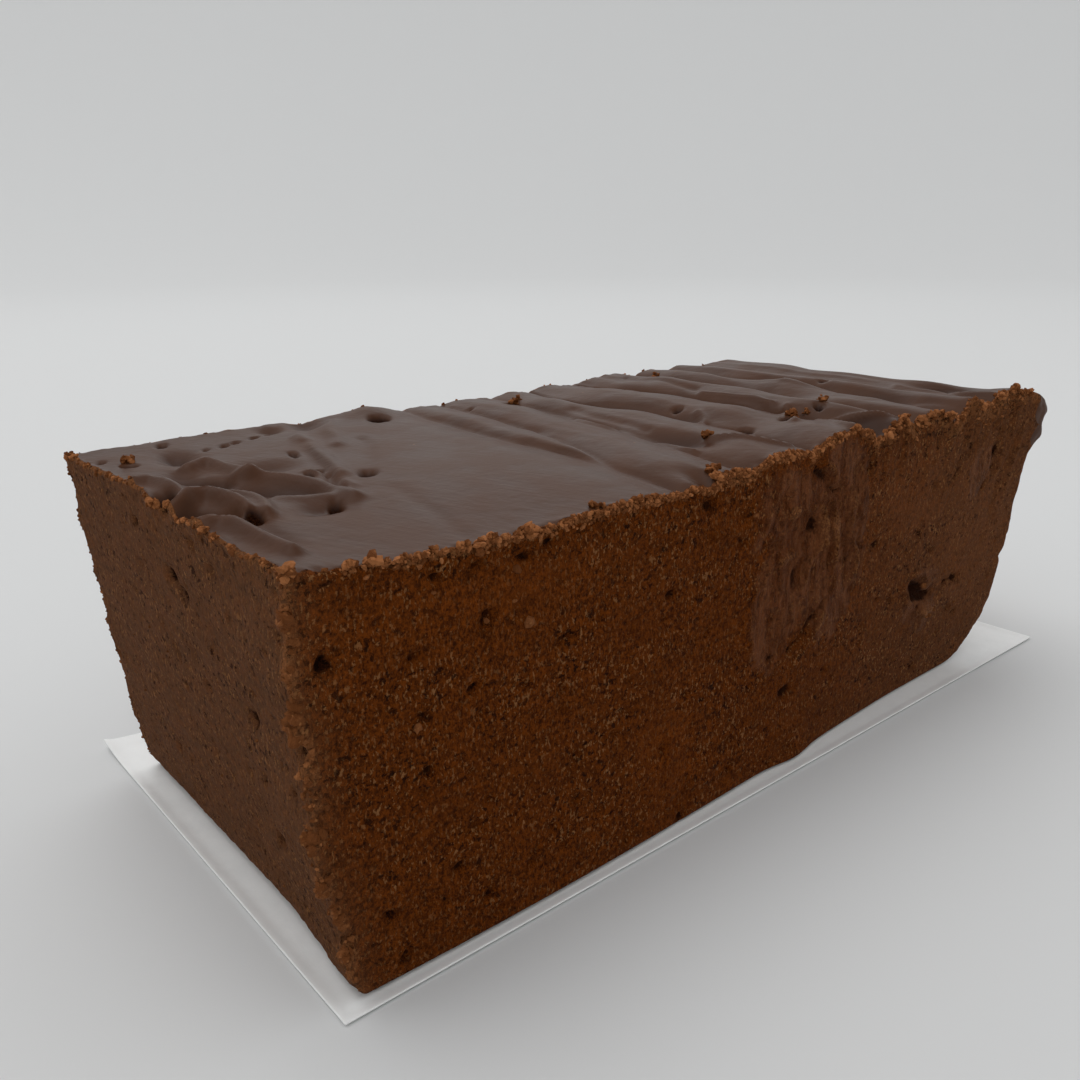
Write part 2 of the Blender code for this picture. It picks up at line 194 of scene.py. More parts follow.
# Raised folds of the top: the places along each crest, half width, height.
TOP_FOLDS = (
    (((-53.4, 5.0), (-51.6, 5.2), (-51.3, 1.2), (-52.5, -2.6)), 0.80, 0.75),
    (((-52.9, -4.4), (-51.5, -3.2), (-49.8, -3.7), (-49.2, -6.7), (-49.8, -9.8)), 0.85, 1.25),
    (((-49.0, -2.6), (-47.4, -3.7), (-47.3, -7.0), (-48.1, -10.0)), 0.80, 0.80),
    (((-47.4, 8.4), (-44.9, 9.6), (-44.2, 6.2), (-43.6, 3.0)), 0.95, 0.90),
    (((-44.7, 2.8), (-42.0, 1.5), (-39.8, -1.9), (-39.3, -6.1), (-39.4, -8.8)), 0.95, 0.65),
    (((-46.3, -2.3), (-44.5, -6.0), (-41.3, -7.0)), 1.10, 0.50),
    (((-53.0, -9.9), (-51.5, -10.2), (-51.0, -15.0), (-50.8, -20.0)), 0.90, 0.85),
    (((-46.8, 15.0), (-45.3, 12.8), (-44.9, 10.2)), 0.90, 0.40),
    (((-25.6, 21.5), (-28.0, 16.0), (-30.7, 10.0)), 0.90, 0.35),
    (((-32.2, 16.0), (-33.6, 9.0), (-35.4, 2.2), (-36.4, -1.0)), 0.90, 0.40),
    (((-38.6, 1.2), (-37.7, -1.4), (-37.7, -5.2)), 0.70, 0.35),
    (((-2.2, 3.4), (-3.0, -6.0), (-4.0, -16.0)), 0.45, 0.35),
    (((0.2, -14.4), (2.0, -18.0), (3.9, -22.4)), 0.55, 0.45),
    (((16.6, -17.0), (14.6, -20.6), (12.4, -24.6)), 0.50, 0.61),
    (((17.8, -16.4), (21.2, -20.4), (25.0, -24.0)), 0.55, 0.54),
    (((20.7, 4.0), (20.4, -2.0), (19.8, -8.0)), 0.45, 0.42),
    (((12.2, -16.8), (15.6, -13.6), (19.4, -10.4)), 0.60, 0.48),
    (((7.0, -7.8), (9.0, -6.8), (10.2, -4.0)), 0.45, 0.42),
    (((32.2, -21.0), (32.6, -10.0), (33.4, 0.0)), 1.10, 0.32),
    (((44.6, -23.0), (45.0, -18.0), (44.4, -10.0)), 0.90, 0.38),
)

# Narrow channels in the top: the places along each bed, half width, depth.
TOP_CHANNELS = (
    (((-53.0, -5.8), (-52.2, -7.6), (-51.0, -9.0)), 1.00, 1.60),
    (((-50.2, 5.2), (-48.6, 3.6), (-46.6, 2.6)), 1.10, 1.10),
    (((-48.4, -1.6), (-46.9, -2.6), (-45.9, -4.6)), 0.60, 0.60),
    (((-37.6, -0.5), (-38.3, -5.0)), 0.50, 0.60),
    (((-33.0, 13.0), (-35.0, 8.0), (-36.5, 2.0), (-37.8, -2.5)), 0.80, 0.28),
    (((-34.3, -2.3), (-32.5, 1.0), (-30.0, 5.0), (-27.0, 11.0)), 0.90, 0.26),
    (((-35.0, -8.0), (-36.2, -16.0), (-38.0, -25.0)), 0.90, 0.10),
    (((1.4, 8.0), (0.6, 2.0), (-0.6, -6.0)), 0.60, 0.22),
    (((43.2, -25.0), (43.8, -20.0), (45.4, -15.5)), 0.60, 0.48),
    (((22.4, 20.0), (22.0, 12.0), (21.8, 6.0)), 0.60, 0.29),
    (((36.2, -4.0), (35.4, -12.0), (35.8, -24.0)), 0.60, 0.19),
)

# Notches where furrows run out through the front rim: x, half width, depth, reach from the rim.
NOTCHES = (
    (-10.8, 1.2, 1.30, 3.0),
    (1.0, 2.2, 0.30, 5.0),
    (24.6, 1.8, 0.50, 6.0),
    (34.0, 2.4, 0.60, 7.0),
)

# Rounded lobes squeezed out at the pan's top corner: centre, radius, push in x, y and z.
LOBES = (
    ((54.8, -24.4, 33.6), 2.6, (1.9, -0.8, 0.2)),
    ((54.9, -24.3, 30.2), 1.7, (1.3, -0.5, 0.0)),
)

# Rounded lumps of the near upright edge: height, radius, and how far each stands out.
EDGE_LUMPS = (
    (36.4, 0.8, 0.30),
    (33.0, 1.3, 0.22),
    (29.0, 1.0, 0.30),
    (24.6, 1.7, 0.75),
    (21.0, 1.1, 0.60),
    (18.4, 0.9, 0.30),
    (15.6, 1.2, 0.40),
    (11.6, 1.3, 0.55),
    (8.2, 1.0, 0.35),
    (5.0, 1.1, 0.40),
)

# Grains that stick to each lump of the near upright edge.
EDGE_LUMP_GRAINS = 9

# Pits of the front cut: x and z, half width and half height, turn in degrees, depth.
FRONT_PITS = (
    (-51.6, 29.1, 0.66, 0.57, 20.0, 1.2),
    (-44.0, 28.0, 0.98, 0.41, 10.0, 0.9),
    (-37.0, 30.0, 0.57, 0.41, 0.0, 0.8),
    (-41.8, 34.0, 0.57, 0.33, 0.0, 0.9),
    (-38.2, 34.1, 0.49, 0.33, 0.0, 0.8),
    (-33.4, 34.0, 0.57, 0.33, 0.0, 0.9),
    (-38.8, 24.0, 0.82, 0.33, 15.0, 0.9),
    (-28.8, 25.7, 0.90, 0.33, 5.0, 0.8),
    (-43.4, 22.8, 0.57, 0.41, 0.0, 0.9),
    (-43.1, 17.9, 0.57, 0.41, 0.0, 0.9),
    (-43.7, 16.1, 0.41, 0.33, 0.0, 0.6),
    (-29.4, 18.7, 0.41, 0.33, 0.0, 0.6),
    (-24.4, 14.1, 0.41, 0.33, 0.0, 0.6),
    (-23.1, 14.1, 0.41, 0.33, 0.0, 0.6),
    (-27.9, 13.5, 0.41, 0.33, 0.0, 0.6),
    (-39.1, 11.0, 0.82, 0.66, 0.0, 0.5),
    (-28.2, 9.0, 0.41, 0.33, 0.0, 0.6),
    (-47.5, 6.4, 0.82, 0.33, -20.0, 0.8),
    (-37.9, 3.7, 0.49, 0.41, 0.0, 0.8),
    (-39.7, 2.6, 0.41, 0.33, 0.0, 0.7),
    (-46.6, 2.1, 0.74, 0.33, 40.0, 0.9),
    (-42.2, 5.3, 0.74, 0.57, 0.0, 0.5),
    (-32.8, 5.9, 0.41, 0.33, 0.0, 0.6),
    (-15.7, 26.2, 0.66, 0.41, 10.0, 1.0),
    (-13.2, 14.4, 0.49, 0.33, 0.0, 0.7),
    (-5.8, 3.2, 0.49, 0.41, 0.0, 0.7),
    (-6.1, 6.6, 0.49, 0.33, 0.0, 0.7),
    (3.9, 9.0, 1.07, 0.66, 20.0, 1.2),
    (0.8, 13.7, 0.49, 0.33, 0.0, 0.7),
    (0.1, 18.5, 0.41, 0.33, 0.0, 0.5),
    (6.4, 27.6, 0.98, 0.74, -30.0, 1.2),
    (-0.4, 26.5, 1.07, 0.33, 5.0, 0.6),
    (12.4, 21.6, 0.41, 0.41, 0.0, 0.7),
    (13.5, 21.5, 0.41, 0.33, 0.0, 0.6),
    (15.4, 25.9, 0.49, 0.33, 0.0, 0.7),
    (19.2, 21.8, 0.98, 0.41, -20.0, 0.9),
    (18.4, 12.2, 0.49, 0.33, 0.0, 0.8),
    (18.3, 10.1, 0.41, 0.33, 0.0, 0.7),
    (21.5, 14.6, 0.49, 0.33, 0.0, 0.8),
    (24.6, 14.4, 0.49, 0.33, 0.0, 0.8),
    (30.6, 13.5, 1.15, 0.98, 0.0, 2.6),
    (33.0, 12.9, 1.31, 0.74, -10.0, 1.8),
    (28.9, 14.6, 0.82, 0.49, 30.0, 0.9),
    (31.8, 11.2, 0.74, 0.49, 0.0, 0.9),
    (39.8, 9.1, 0.49, 0.41, 0.0, 0.9),
    (41.5, 7.9, 0.49, 0.33, 0.0, 0.8),
    (36.1, 27.3, 1.07, 0.49, 10.0, 1.0),
    (31.6, 27.2, 1.97, 0.25, 2.0, 0.6),
    (39.0, 30.5, 0.57, 0.41, 0.0, 0.9),
    (44.2, 32.6, 0.57, 0.41, 0.0, 0.9),
    (46.1, 28.5, 0.33, 0.74, 0.0, 0.9),
    (45.9, 26.4, 0.41, 0.41, 0.0, 0.7),
    (43.6, 24.6, 0.49, 0.33, 0.0, 0.7),
    (32.7, 19.4, 0.41, 0.33, 0.0, 0.7),
    (29.0, 21.4, 0.49, 0.33, 0.0, 0.8),
    (40.5, 13.2, 1.07, 0.33, -35.0, 0.8),
    (37.7, 12.9, 0.49, 0.33, 0.0, 0.7),
    (28.1, 10.4, 0.49, 0.33, 0.0, 0.7),
    (38.1, 5.8, 0.49, 0.33, 0.0, 0.7),
    (21.1, 35.1, 0.66, 0.49, 0.0, 0.9),
    (16.8, 32.8, 0.66, 0.25, 20.0, 0.7),
    (-10.9, 34.3, 0.74, 0.57, 0.0, 1.0),
)

# Folds of the front cut where warm fudge smeared: the places along each crest, half width, height.
# A height below nothing is a groove.
FRONT_FOLDS = (
    (((-2.5, 22.3), (-1.0, 24.0), (1.6, 25.0), (5.5, 24.7)), 0.50, 0.39),
    (((0.4, 29.3), (2.7, 29.6), (4.6, 29.8), (6.8, 29.3)), 0.45, 0.38),
    (((7.2, 28.9), (8.2, 27.3), (8.2, 26.0), (7.9, 25.0)), 0.50, 0.68),
    (((8.4, 25.3), (6.6, 24.1), (5.8, 23.0), (5.6, 21.3)), 0.45, 0.42),
    (((9.4, 17.6), (8.0, 16.6), (6.2, 15.4), (4.0, 13.6)), 0.42, -0.56),
    (((9.2, 16.6), (8.6, 15.2), (7.0, 13.6), (5.2, 12.2)), 0.45, 0.39),
    (((5.8, 33.8), (6.9, 32.8), (8.1, 31.6), (9.9, 29.9)), 0.45, -0.63),
    (((7.2, 33.8), (9.6, 31.7), (11.1, 29.5), (12.0, 26.5), (12.4, 23.1)), 0.50, 0.45),
    (((10.6, 31.0), (11.8, 28.6), (12.7, 25.4), (13.2, 22.6)), 0.42, -0.42),
    (((12.9, 29.6), (13.4, 25.9), (14.4, 23.4), (15.1, 20.9), (14.8, 18.5)), 0.48, 0.45),
    (((14.2, 29.4), (14.8, 25.6), (15.8, 22.8), (16.2, 20.0)), 0.42, -0.35),
    (((8.9, 28.5), (9.2, 25.2), (9.8, 21.8), (10.7, 18.5)), 0.45, -0.42),
    (((9.8, 28.6), (10.3, 25.2), (11.0, 21.8), (11.8, 18.8)), 0.45, 0.32),
    (((-3.6, 20.0), (-3.2, 16.4), (-1.4, 13.4), (1.0, 12.4)), 0.60, 0.30),
    (((3.6, 22.6), (3.2, 18.0), (2.0, 14.6)), 0.50, -0.27),
    (((-4.0, 32.4), (-4.2, 31.0), (-5.6, 29.8), (-8.4, 30.0), (-10.0, 30.8)), 0.40, 0.35),
    (((1.0, 33.4), (-1.0, 31.4), (-2.2, 28.6)), 0.50, 0.27),
    (((45.4, 31.4), (45.8, 29.4), (45.4, 26.8), (43.7, 24.6)), 0.50, -0.45),
    (((46.6, 31.2), (47.2, 28.6), (46.6, 25.6)), 0.55, 0.38),
    (((50.1, 29.7), (49.6, 25.7), (47.8, 23.0), (46.9, 20.5)), 0.55, -0.32),
    (((51.2, 31.0), (51.0, 26.4), (49.4, 22.4)), 0.55, 0.35),
    (((39.8, 31.0), (38.6, 29.3), (36.0, 28.4)), 0.50, -0.35),
    (((27.0, 14.8), (29.0, 12.4), (31.5, 10.6), (35.0, 10.4)), 0.60, 0.35),
    (((29.2, 15.8), (31.4, 15.7), (34.6, 14.4)), 0.50, 0.35),
    (((37.4, 12.6), (39.4, 12.9), (41.2, 13.6)), 0.38, -0.45),
    (((-15.6, 12.4), (-15.2, 8.0), (-15.4, 2.6)), 0.60, 0.14),
    (((-12.4, 12.0), (-12.2, 7.0), (-12.6, 2.2)), 0.60, -0.14),
)

# The smeared patch of the front cut: x and z of its blobs, half width and half height.
SMEAR_BLOBS = (
    (1.0, 19.6, 4.6, 7.6),
    (9.6, 25.6, 7.0, 9.4),
    (4.0, 30.4, 7.6, 4.2),
    (12.0, 20.0, 4.4, 7.0),
    (31.6, 12.4, 3.6, 4.4),
    (42.6, 27.0, 3.0, 3.0),
)

# Pits of the near end's cut: y and z, half width and half height, turn in degrees, depth.
LEFT_PITS = (
    (-1.3, 29.5, 0.9, 0.6, 0.0, 1.1),
    (-3.5, 28.4, 1.2, 0.5, 20.0, 0.8),
    (-11.2, 32.6, 0.6, 0.5, 0.0, 0.8),
    (5.4, 32.5, 0.6, 0.4, 0.0, 0.8),
    (1.5, 21.3, 0.6, 0.4, 0.0, 0.8),
    (-14.4, 21.5, 0.9, 0.6, 0.0, 1.1),
    (-5.0, 20.6, 0.6, 0.4, 0.0, 0.8),
    (-2.7, 22.7, 0.9, 0.6, 0.0, 0.4),
    (-11.2, 14.8, 0.6, 0.5, 0.0, 0.8),
    (-19.2, 12.5, 0.6, 0.5, 0.0, 0.8),
    (8.5, 8.8, 0.6, 0.5, 0.0, 0.8),
    (-2.7, 13.1, 0.9, 0.6, 0.0, 0.4),
    (-15.4, 10.4, 0.6, 0.5, 0.0, 0.8),
    (20.2, 14.8, 0.9, 0.6, 0.0, 0.4),
    (-3.0, 35.4, 0.7, 0.6, 0.0, 0.9),
)

# Smoother bands of the front cut: x and z of the middle, half width and half height.
CALM_BLOBS = (
    (-38.0, 31.6, 14.0, 2.1),
    (-16.0, 8.0, 5.0, 7.0),
    (44.0, 20.0, 9.0, 13.0),
    (28.0, 27.0, 9.0, 5.0),
    (-51.2, 31.0, 2.4, 4.2),
)

# Height of the crumbly band under the front rim, at places along the slice.
BAND_X = (-55.0, -52.0, -46.0, -34.0, -30.0, -14.0, -11.0, -8.0, -4.0, 14.0, 17.0, 21.0, 26.0, 35.0, 40.0, 46.0, 54.0)
BAND_HEIGHT = (0.7, 0.7, 0.8, 0.8, 0.9, 0.9, 0.7, 2.0, 0.8, 0.9, 1.6, 2.0, 1.5, 3.2, 3.0, 2.6, 2.4)

# Crumbs that lie loose on the top: x, y and radius.
LOOSE_CRUMBS = (
    (-24.8, -23.4, 0.62),
    (-24.0, -23.9, 0.40),
    (-50.4, 15.4, 0.75),
    (-49.8, 16.5, 0.45),
    (-53.6, 22.6, 0.50),
    (-41.6, -24.3, 0.45),
    (0.4, 18.8, 0.80),
    (1.6, 19.6, 0.55),
    (0.6, -13.9, 0.75),
    (16.2, -13.2, 0.95),
    (17.6, -12.2, 0.75),
    (18.6, -13.4, 0.60),
    (15.0, -14.6, 0.60),
    (21.6, -13.4, 0.70),
    (22.4, -12.7, 0.50),
    (23.9, 16.3, 0.80),
    (25.0, 17.8, 0.50),
    (-8.9, -23.0, 0.80),
    (-7.8, -22.4, 0.60),
)

# Lumps of crumbs that stick to the rims: x, y and radius of each cluster, and its height over the rim.
RIM_LUMPS = (
    (-53.6, -24.7, 0.85, 0.35),
    (-48.9, -24.8, 0.62, 0.30),
    (-46.9, -24.8, 0.80, 0.35),
    (-46.0, -24.7, 0.45, 0.10),
    (-44.3, -24.8, 0.72, 0.20),
    (-43.2, -24.8, 0.55, 0.15),
    (-42.2, -24.8, 0.45, 0.10),
    (-39.1, -24.7, 0.62, 0.20),
    (-37.7, -24.8, 0.85, 0.15),
    (-36.5, -24.8, 0.80, 0.10),
    (-35.2, -24.8, 0.55, 0.05),
    (-34.0, -24.8, 0.75, 0.10),
    (-32.9, -24.7, 0.85, 0.30),
    (-30.8, -24.8, 0.55, 0.10),
    (-9.5, -24.5, 0.85, 0.25),
    (-8.6, -24.8, 0.65, -0.60),
    (-7.0, -24.6, 0.75, 0.20),
    (-5.8, -24.8, 0.60, 0.10),
    (18.4, -24.6, 0.80, 0.10),
    (20.0, -24.8, 0.75, 0.20),
    (21.6, -24.6, 0.80, 0.20),
    (25.1, -24.6, 0.75, 0.10),
    (27.4, -24.8, 0.60, 0.05),
    (30.8, -24.6, 0.80, 0.10),
    (33.2, -24.8, 0.70, 0.05),
    (38.9, -24.8, 0.85, 0.05),
    (43.0, -24.8, 0.90, 0.05),
    (46.4, -24.8, 0.85, 0.05),
    (49.7, -24.8, 0.80, 0.00),
    (-53.9, -0.8, 0.72, 0.30),
    (-53.9, -2.6, 0.45, 0.15),
    (-53.9, -3.8, 0.35, 0.10),
    (-53.9, -11.6, 0.50, 0.15),
    (-53.9, -13.6, 0.42, 0.05),
    (-53.9, -16.2, 0.36, 0.05),
    (-53.9, -21.4, 0.40, 0.05),
    (-53.9, 8.2, 0.35, 0.05),
    (-53.9, 16.5, 0.38, 0.05),
    (-53.9, 21.6, 0.45, 0.05),
)

# Crumbs that sit in the front cut: x, z and radius.
FRONT_CRUMBS = (
    (-32.6, 28.4, 0.62),
    (-33.4, 33.2, 0.58),
    (-43.3, 22.1, 0.42),
    (-36.5, 29.5, 0.36),
    (-41.2, 33.0, 0.30),
    (-28.0, 24.6, 0.34),
    (-16.6, 25.4, 0.34),
    (-18.4, 31.9, 0.30),
    (-9.0, 30.6, 0.32),
    (-4.2, 31.5, 0.36),
    (34.0, 9.6, 0.55),
    (33.0, 9.8, 0.42),
    (34.9, 10.2, 0.40),
    (31.4, 14.4, 0.40),
    (24.0, 15.1, 0.34),
    (40.6, 9.6, 0.34),
    (8.2, 26.9, 0.42),
    (7.6, 25.2, 0.34),
)

# The slip of waxed paper.
PAPER_LEFT = -53.1
PAPER_RIGHT = 60.0
PAPER_FRONT = -26.2
PAPER_BACK = 31.0
PAPER_CELLS = (228, 116)
PAPER_EDGE_LIFT = 0.22
PAPER_EDGE_BAND = 1.8
PAPER_CURL_HEIGHT = 0.7
PAPER_CURL_REACH = 11.0
SOLID_REST = 0.6

# The camera, in the slice's frame and in degrees.
CAMERA_PLACE = (-80.82, -83.69, 58.59)
CAMERA_YAW = 39.77
CAMERA_PITCH = 17.79
CAMERA_ROLL = 0.71
CAMERA_LENS = 33.3
CAMERA_SENSOR = 36.0


# ---------------------------------------------------------------------------------------------------
# Fields


def smooth_step(low, high, value):
    """Return 0 below low and 1 above high, with a smooth rise between them."""
    share = np.clip((value - low) / (high - low), 0.0, 1.0)
    return share * share * (3.0 - 2.0 * share)


def bell(distance):
    """Return a bell curve of a distance that is counted in radii."""
    return np.exp(-distance * distance)


def lattice_random(cells, seed):
    """Return a fixed random number from 0 to 1 for each row of whole numbers, by mixing their bits."""
    mask = np.int64(0xFFFFFFFF)
    mixed = (cells[:, 0] * 374761393 + cells[:, 1] * 668265263 + cells[:, 2] * 1440662683 + seed * 974634777) & mask
    mixed = ((mixed ^ (mixed >> 13)) * 1274126177) & mask
    mixed = ((mixed ^ (mixed >> 15)) * 1103515245) & mask
    return ((mixed ^ (mixed >> 16)) & mask) / 4294967295.0


def noise(points, pitch, seed):
    """Return a smooth random field from -1 to 1: random numbers on a lattice, blended by smooth steps."""
    scaled = points / pitch
    base = np.floor(scaled).astype(np.int64)
    share = scaled - base
    share = share * share * (3.0 - 2.0 * share)
    total = np.zeros(len(points))
    for corner in itertools.product((0, 1), repeat=3):
        weight = np.prod(np.where(np.array(corner) == 1, share, 1.0 - share), axis=1)
        total += weight * lattice_random(base + np.array(corner), seed)
    return 2.0 * total - 1.0


def layered_noise(points, pitch, seed, layers=3):
    """Return a sum of noises, each with half the pitch and half the strength of the one before it."""
    total = np.zeros(len(points))
    for layer in range(layers):
        total += noise(points, pitch / 2.0 ** layer, seed + layer) / 2.0 ** layer
    return total / (2.0 - 2.0 / 2.0 ** layers)


def distance_to_path(a, b, places):
    """Return the distance from each point of a plane to a path of straight stretches."""
    nearest = np.full_like(a, 1e9)
    for start, end in zip(places[:-1], places[1:]):
        step = (end[0] - start[0], end[1] - start[1])
        share = ((a - start[0]) * step[0] + (b - start[1]) * step[1]) / (step[0] ** 2 + step[1] ** 2)
        share = np.clip(share, 0.0, 1.0)
        nearest = np.minimum(nearest, np.hypot(a - start[0] - share * step[0], b - start[1] - share * step[1]))
    return nearest


def rounded_path(places):
    """Return a path with its corners cut twice, each time at a quarter of the stretches beside them."""
    path = np.array(places)
    for _ in range(2):
        cuts = np.stack((0.75 * path[:-1] + 0.25 * path[1:], 0.25 * path[:-1] + 0.75 * path[1:]), axis=1)
        path = np.concatenate((path[:1], cuts.reshape(-1, 2), path[-1:]))
    return path


def ridges(a, b, table):
    """Return the sum of rounded ridges, each a bell across its path."""
    relief = np.zeros_like(a)
    for corners, half_width, height in table:
        places = rounded_path(corners)
        low = np.min(places, axis=0) - 4.0 * half_width
        high = np.max(places, axis=0) + 4.0 * half_width
        near = (a > low[0]) & (a < high[0]) & (b > low[1]) & (b < high[1])
        relief[near] += height * bell(distance_to_path(a[near], b[near], places) / half_width)
    return relief


def ovals(a, b, table, power):
    """Return the sum of oval hollows, each as deep as a curve that falls with a power of the distance."""
    relief = np.zeros_like(a)
    for centre_a, centre_b, along, across, turn, depth in table:
        reach = 3.0 * max(along, across)
        near = (np.abs(a - centre_a) < reach) & (np.abs(b - centre_b) < reach)
        cosine = math.cos(math.radians(turn))
        sine = math.sin(math.radians(turn))
        u = ((a[near] - centre_a) * cosine + (b[near] - centre_b) * sine) / along
        v = ((b[near] - centre_b) * cosine - (a[near] - centre_a) * sine) / across
        relief[near] += depth * np.exp(-np.hypot(u, v) ** power)
    return relief


def scattered_pits(random, count, low, high, sizes, depth):
    """Return rows of small oval pits at random places of a rectangle, most of them small."""
    a = random.uniform(low[0], high[0], count)
    b = random.uniform(low[1], high[1], count)
    width = sizes[0] + (sizes[1] - sizes[0]) * random.random(count) ** 2.5
    height = width * random.uniform(0.55, 1.0, count)
    turn = random.normal(0.0, 22.0, count)
    return np.stack((a, b, width, height, turn, depth * width * random.uniform(0.7, 1.3, count)), axis=1)


# ---------------------------------------------------------------------------------------------------
# Closed box of cells


def stations(cells):
    """Return the cuts from -1 to 1 of one axis: an even row drawn towards both ends by its ninth power."""
    even = np.linspace(-1.0, 1.0, cells + 1)
    return even * (1.0 + END_CROWDING) - END_CROWDING * even ** 9


def side_faces(grid, step):
    """Return the face loops of one side in groups of equal length.

    Each face joins the grid's points that are a step apart. Next to the side's border a face also takes
    the points between them, so that it closes against the finer side beyond.
    """
    rows, columns = ((size - 1) // step for size in grid.shape)
    row, column = (part.ravel() for part in np.meshgrid(np.arange(rows), np.arange(columns), indexing="ij"))
    borders = np.stack((column == 0, row == rows - 1, column == columns - 1, row == 0), axis=1)
    groups = []
    for kind in np.unique(borders, axis=0):
        chosen = (borders == kind).all(axis=1)
        a = row[chosen] * step
        b = column[chosen] * step
        low, right, high, left = (range(step) if border else (0,) for border in kind)
        loop = [grid[a + shift, b] for shift in low]
        loop += [grid[a + step, b + shift] for shift in right]
        loop += [grid[a + step - shift, b + step] for shift in high]
        loop += [grid[a, b + step - shift] for shift in left]
        groups.append(np.stack(loop, axis=1))
    return groups


def box_shell(cells, steps):
    """Return the unit points and the face loops of a closed box, cut into cells by its stations."""
    axes = [stations(count) for count in cells]
    index = np.arange((cells[0] + 1) * (cells[1] + 1) * (cells[2] + 1)).reshape([count + 1 for count in cells])
    sides = {
        "left": index[0].T,
        "right": index[-1],
        "front": index[:, 0],
        "back": index[:, -1].T,
        "base": index[:, :, 0].T,
        "top": index[:, :, -1],
    }
    groups = [group for name, grid in sides.items() for group in side_faces(grid, steps[name])]
    used, where = np.unique(np.concatenate([group.ravel() for group in groups]), return_inverse=True)
    places = np.unravel_index(used, index.shape)
    points = np.stack([axis[place] for axis, place in zip(axes, places)], axis=1)
    loops = []
    start = 0
    for group in groups:
        loops.append(where[start:start + group.size].reshape(group.shape))
        start += group.size
    return points, loops


# ---------------------------------------------------------------------------------------------------
# The slice's form


def round_corner(points, axes, signs, edges, radius):
    """Round one long edge of the box, by drawing squares about its centre line in to arcs."""
    first, second = axes
    centre_a = edges[0] - signs[0] * radius
    centre_b = edges[1] - signs[1] * radius
    out_a = np.maximum((points[:, first] - centre_a) * signs[0], 0.0)
    out_b = np.maximum((points[:, second] - centre_b) * signs[1], 0.0)
    inside = (out_a > 0.0) & (out_b > 0.0)
    length = np.where(inside, np.hypot(out_a, out_b), 1.0)
    share = np.where(inside, np.maximum(out_a, out_b) / length, 1.0)
    points[:, first] = np.where(inside, centre_a + signs[0] * out_a * share, points[:, first])
    points[:, second] = np.where(inside, centre_b + signs[1] * out_b * share, points[:, second])


def round_edges(points, size):
    """Round the pan's corner and rim, the foot of each cut and the cut edges."""
    length, width, height = size
    round_corner(points, (0, 2), (1, -1), (length / 2.0, 0.0), PAN_CORNER_RADIUS)
    round_corner(points, (0, 2), (1, 1), (length / 2.0, height), PAN_RIM_RADIUS)
    round_corner(points, (0, 2), (-1, -1), (-length / 2.0, 0.0), CUT_FOOT_RADIUS)
    round_corner(points, (0, 2), (-1, 1), (-length / 2.0, height), EDGE_RADIUS)
    for side in (-1, 1):
        round_corner(points, (1, 2), (side, -1), (side * width / 2.0, 0.0), FRONT_FOOT_RADIUS)
        round_corner(points, (1, 2), (side, 1), (side * width / 2.0, height), EDGE_RADIUS)
        for end in (-1, 1):
            round_corner(points, (0, 1), (end, side), (end * length / 2.0, side * width / 2.0), EDGE_RADIUS)


def lean_walls(points, size, leans):
    """Lean the four walls out towards the top, each by its own amount."""
    rise = points[:, 2] / size[2]
    along = points[:, 0] / (size[0] / 2.0)
    across = points[:, 1] / (size[1] / 2.0)
    points[:, 0] += rise * np.where(along > 0.0, leans["pan"] * along, leans["cut"] * along)
    points[:, 1] += rise * np.where(across > 0.0, leans["back"] * across, leans["front"] * across)


def stray_walls(points, size):
    """Bow the walls: the near upright edge and the pan's wall swell, and so does the front's foot."""
    length, width, height = size
    x, y, z = points.T.copy()
    rise = np.clip(z / height, 0.0, 1.0)
    left = np.clip(-x / (length / 2.0), 0.0, 1.0) ** 8
    near = bell((y + width / 2.0) / 7.0)
    ragged = 0.75 + 0.25 * np.cos(z * math.tau / 15.5 + 0.6)
    points[:, 0] -= NEAR_EDGE_BULGE * left * near * np.sin(math.pi * rise) ** 0.6 * ragged
    points[:, 0] += left * (1.0 - near) * (CUT_FOOT_TUCK * (1.0 - rise) ** 6 - CUT_END_FULLNESS)
    front = np.clip(-y / (width / 2.0), 0.0, 1.0) ** 8
    swelling = FRONT_FOOT_BULGE * bell((x + 33.0) / 46.0) * (1.0 - rise) ** 1.2
    tuck = FRONT_FOOT_TUCK * smooth_step(8.0, 30.0, x) * (1.0 - rise) ** 3
    bump = FRONT_FOOT_BUMP * bell((x - FRONT_FOOT_BUMP_PLACE) / FRONT_FOOT_BUMP_RADIUS)
    points[:, 1] += front * (tuck - swelling - bump * (1.0 - rise) ** 12)
    right = np.clip(x / (length / 2.0), 0.0, 1.0) ** 8
    points[:, 0] += PAN_WALL_FULLNESS * right * np.sin(math.pi * rise) ** 0.7


def slow_wave(points):
    """Return a slow wave of all three coordinates, between -1 and 1."""
    x, y, z = points.T / FACE_UNEVEN_PITCH * math.tau
    first = np.sin(x * 0.9 + 0.7 * y + 1.3) * np.cos(z * 0.8 - 0.5 * x + 0.4)
    second = np.sin(z * 1.3 + 0.6 * y + 2.1) * np.cos(x * 0.55 + 0.9 * y)
    return 0.5 * (first + second)


def furrow_line(places, y):
    """Return the x of a furrow at each y: its places joined by straight stretches and then averaged."""
    shifts = (-2.0, -1.0, 0.0, 1.0, 2.0)
    return sum(np.interp(y + shift, FURROW_Y, places) for shift in shifts) / len(shifts)


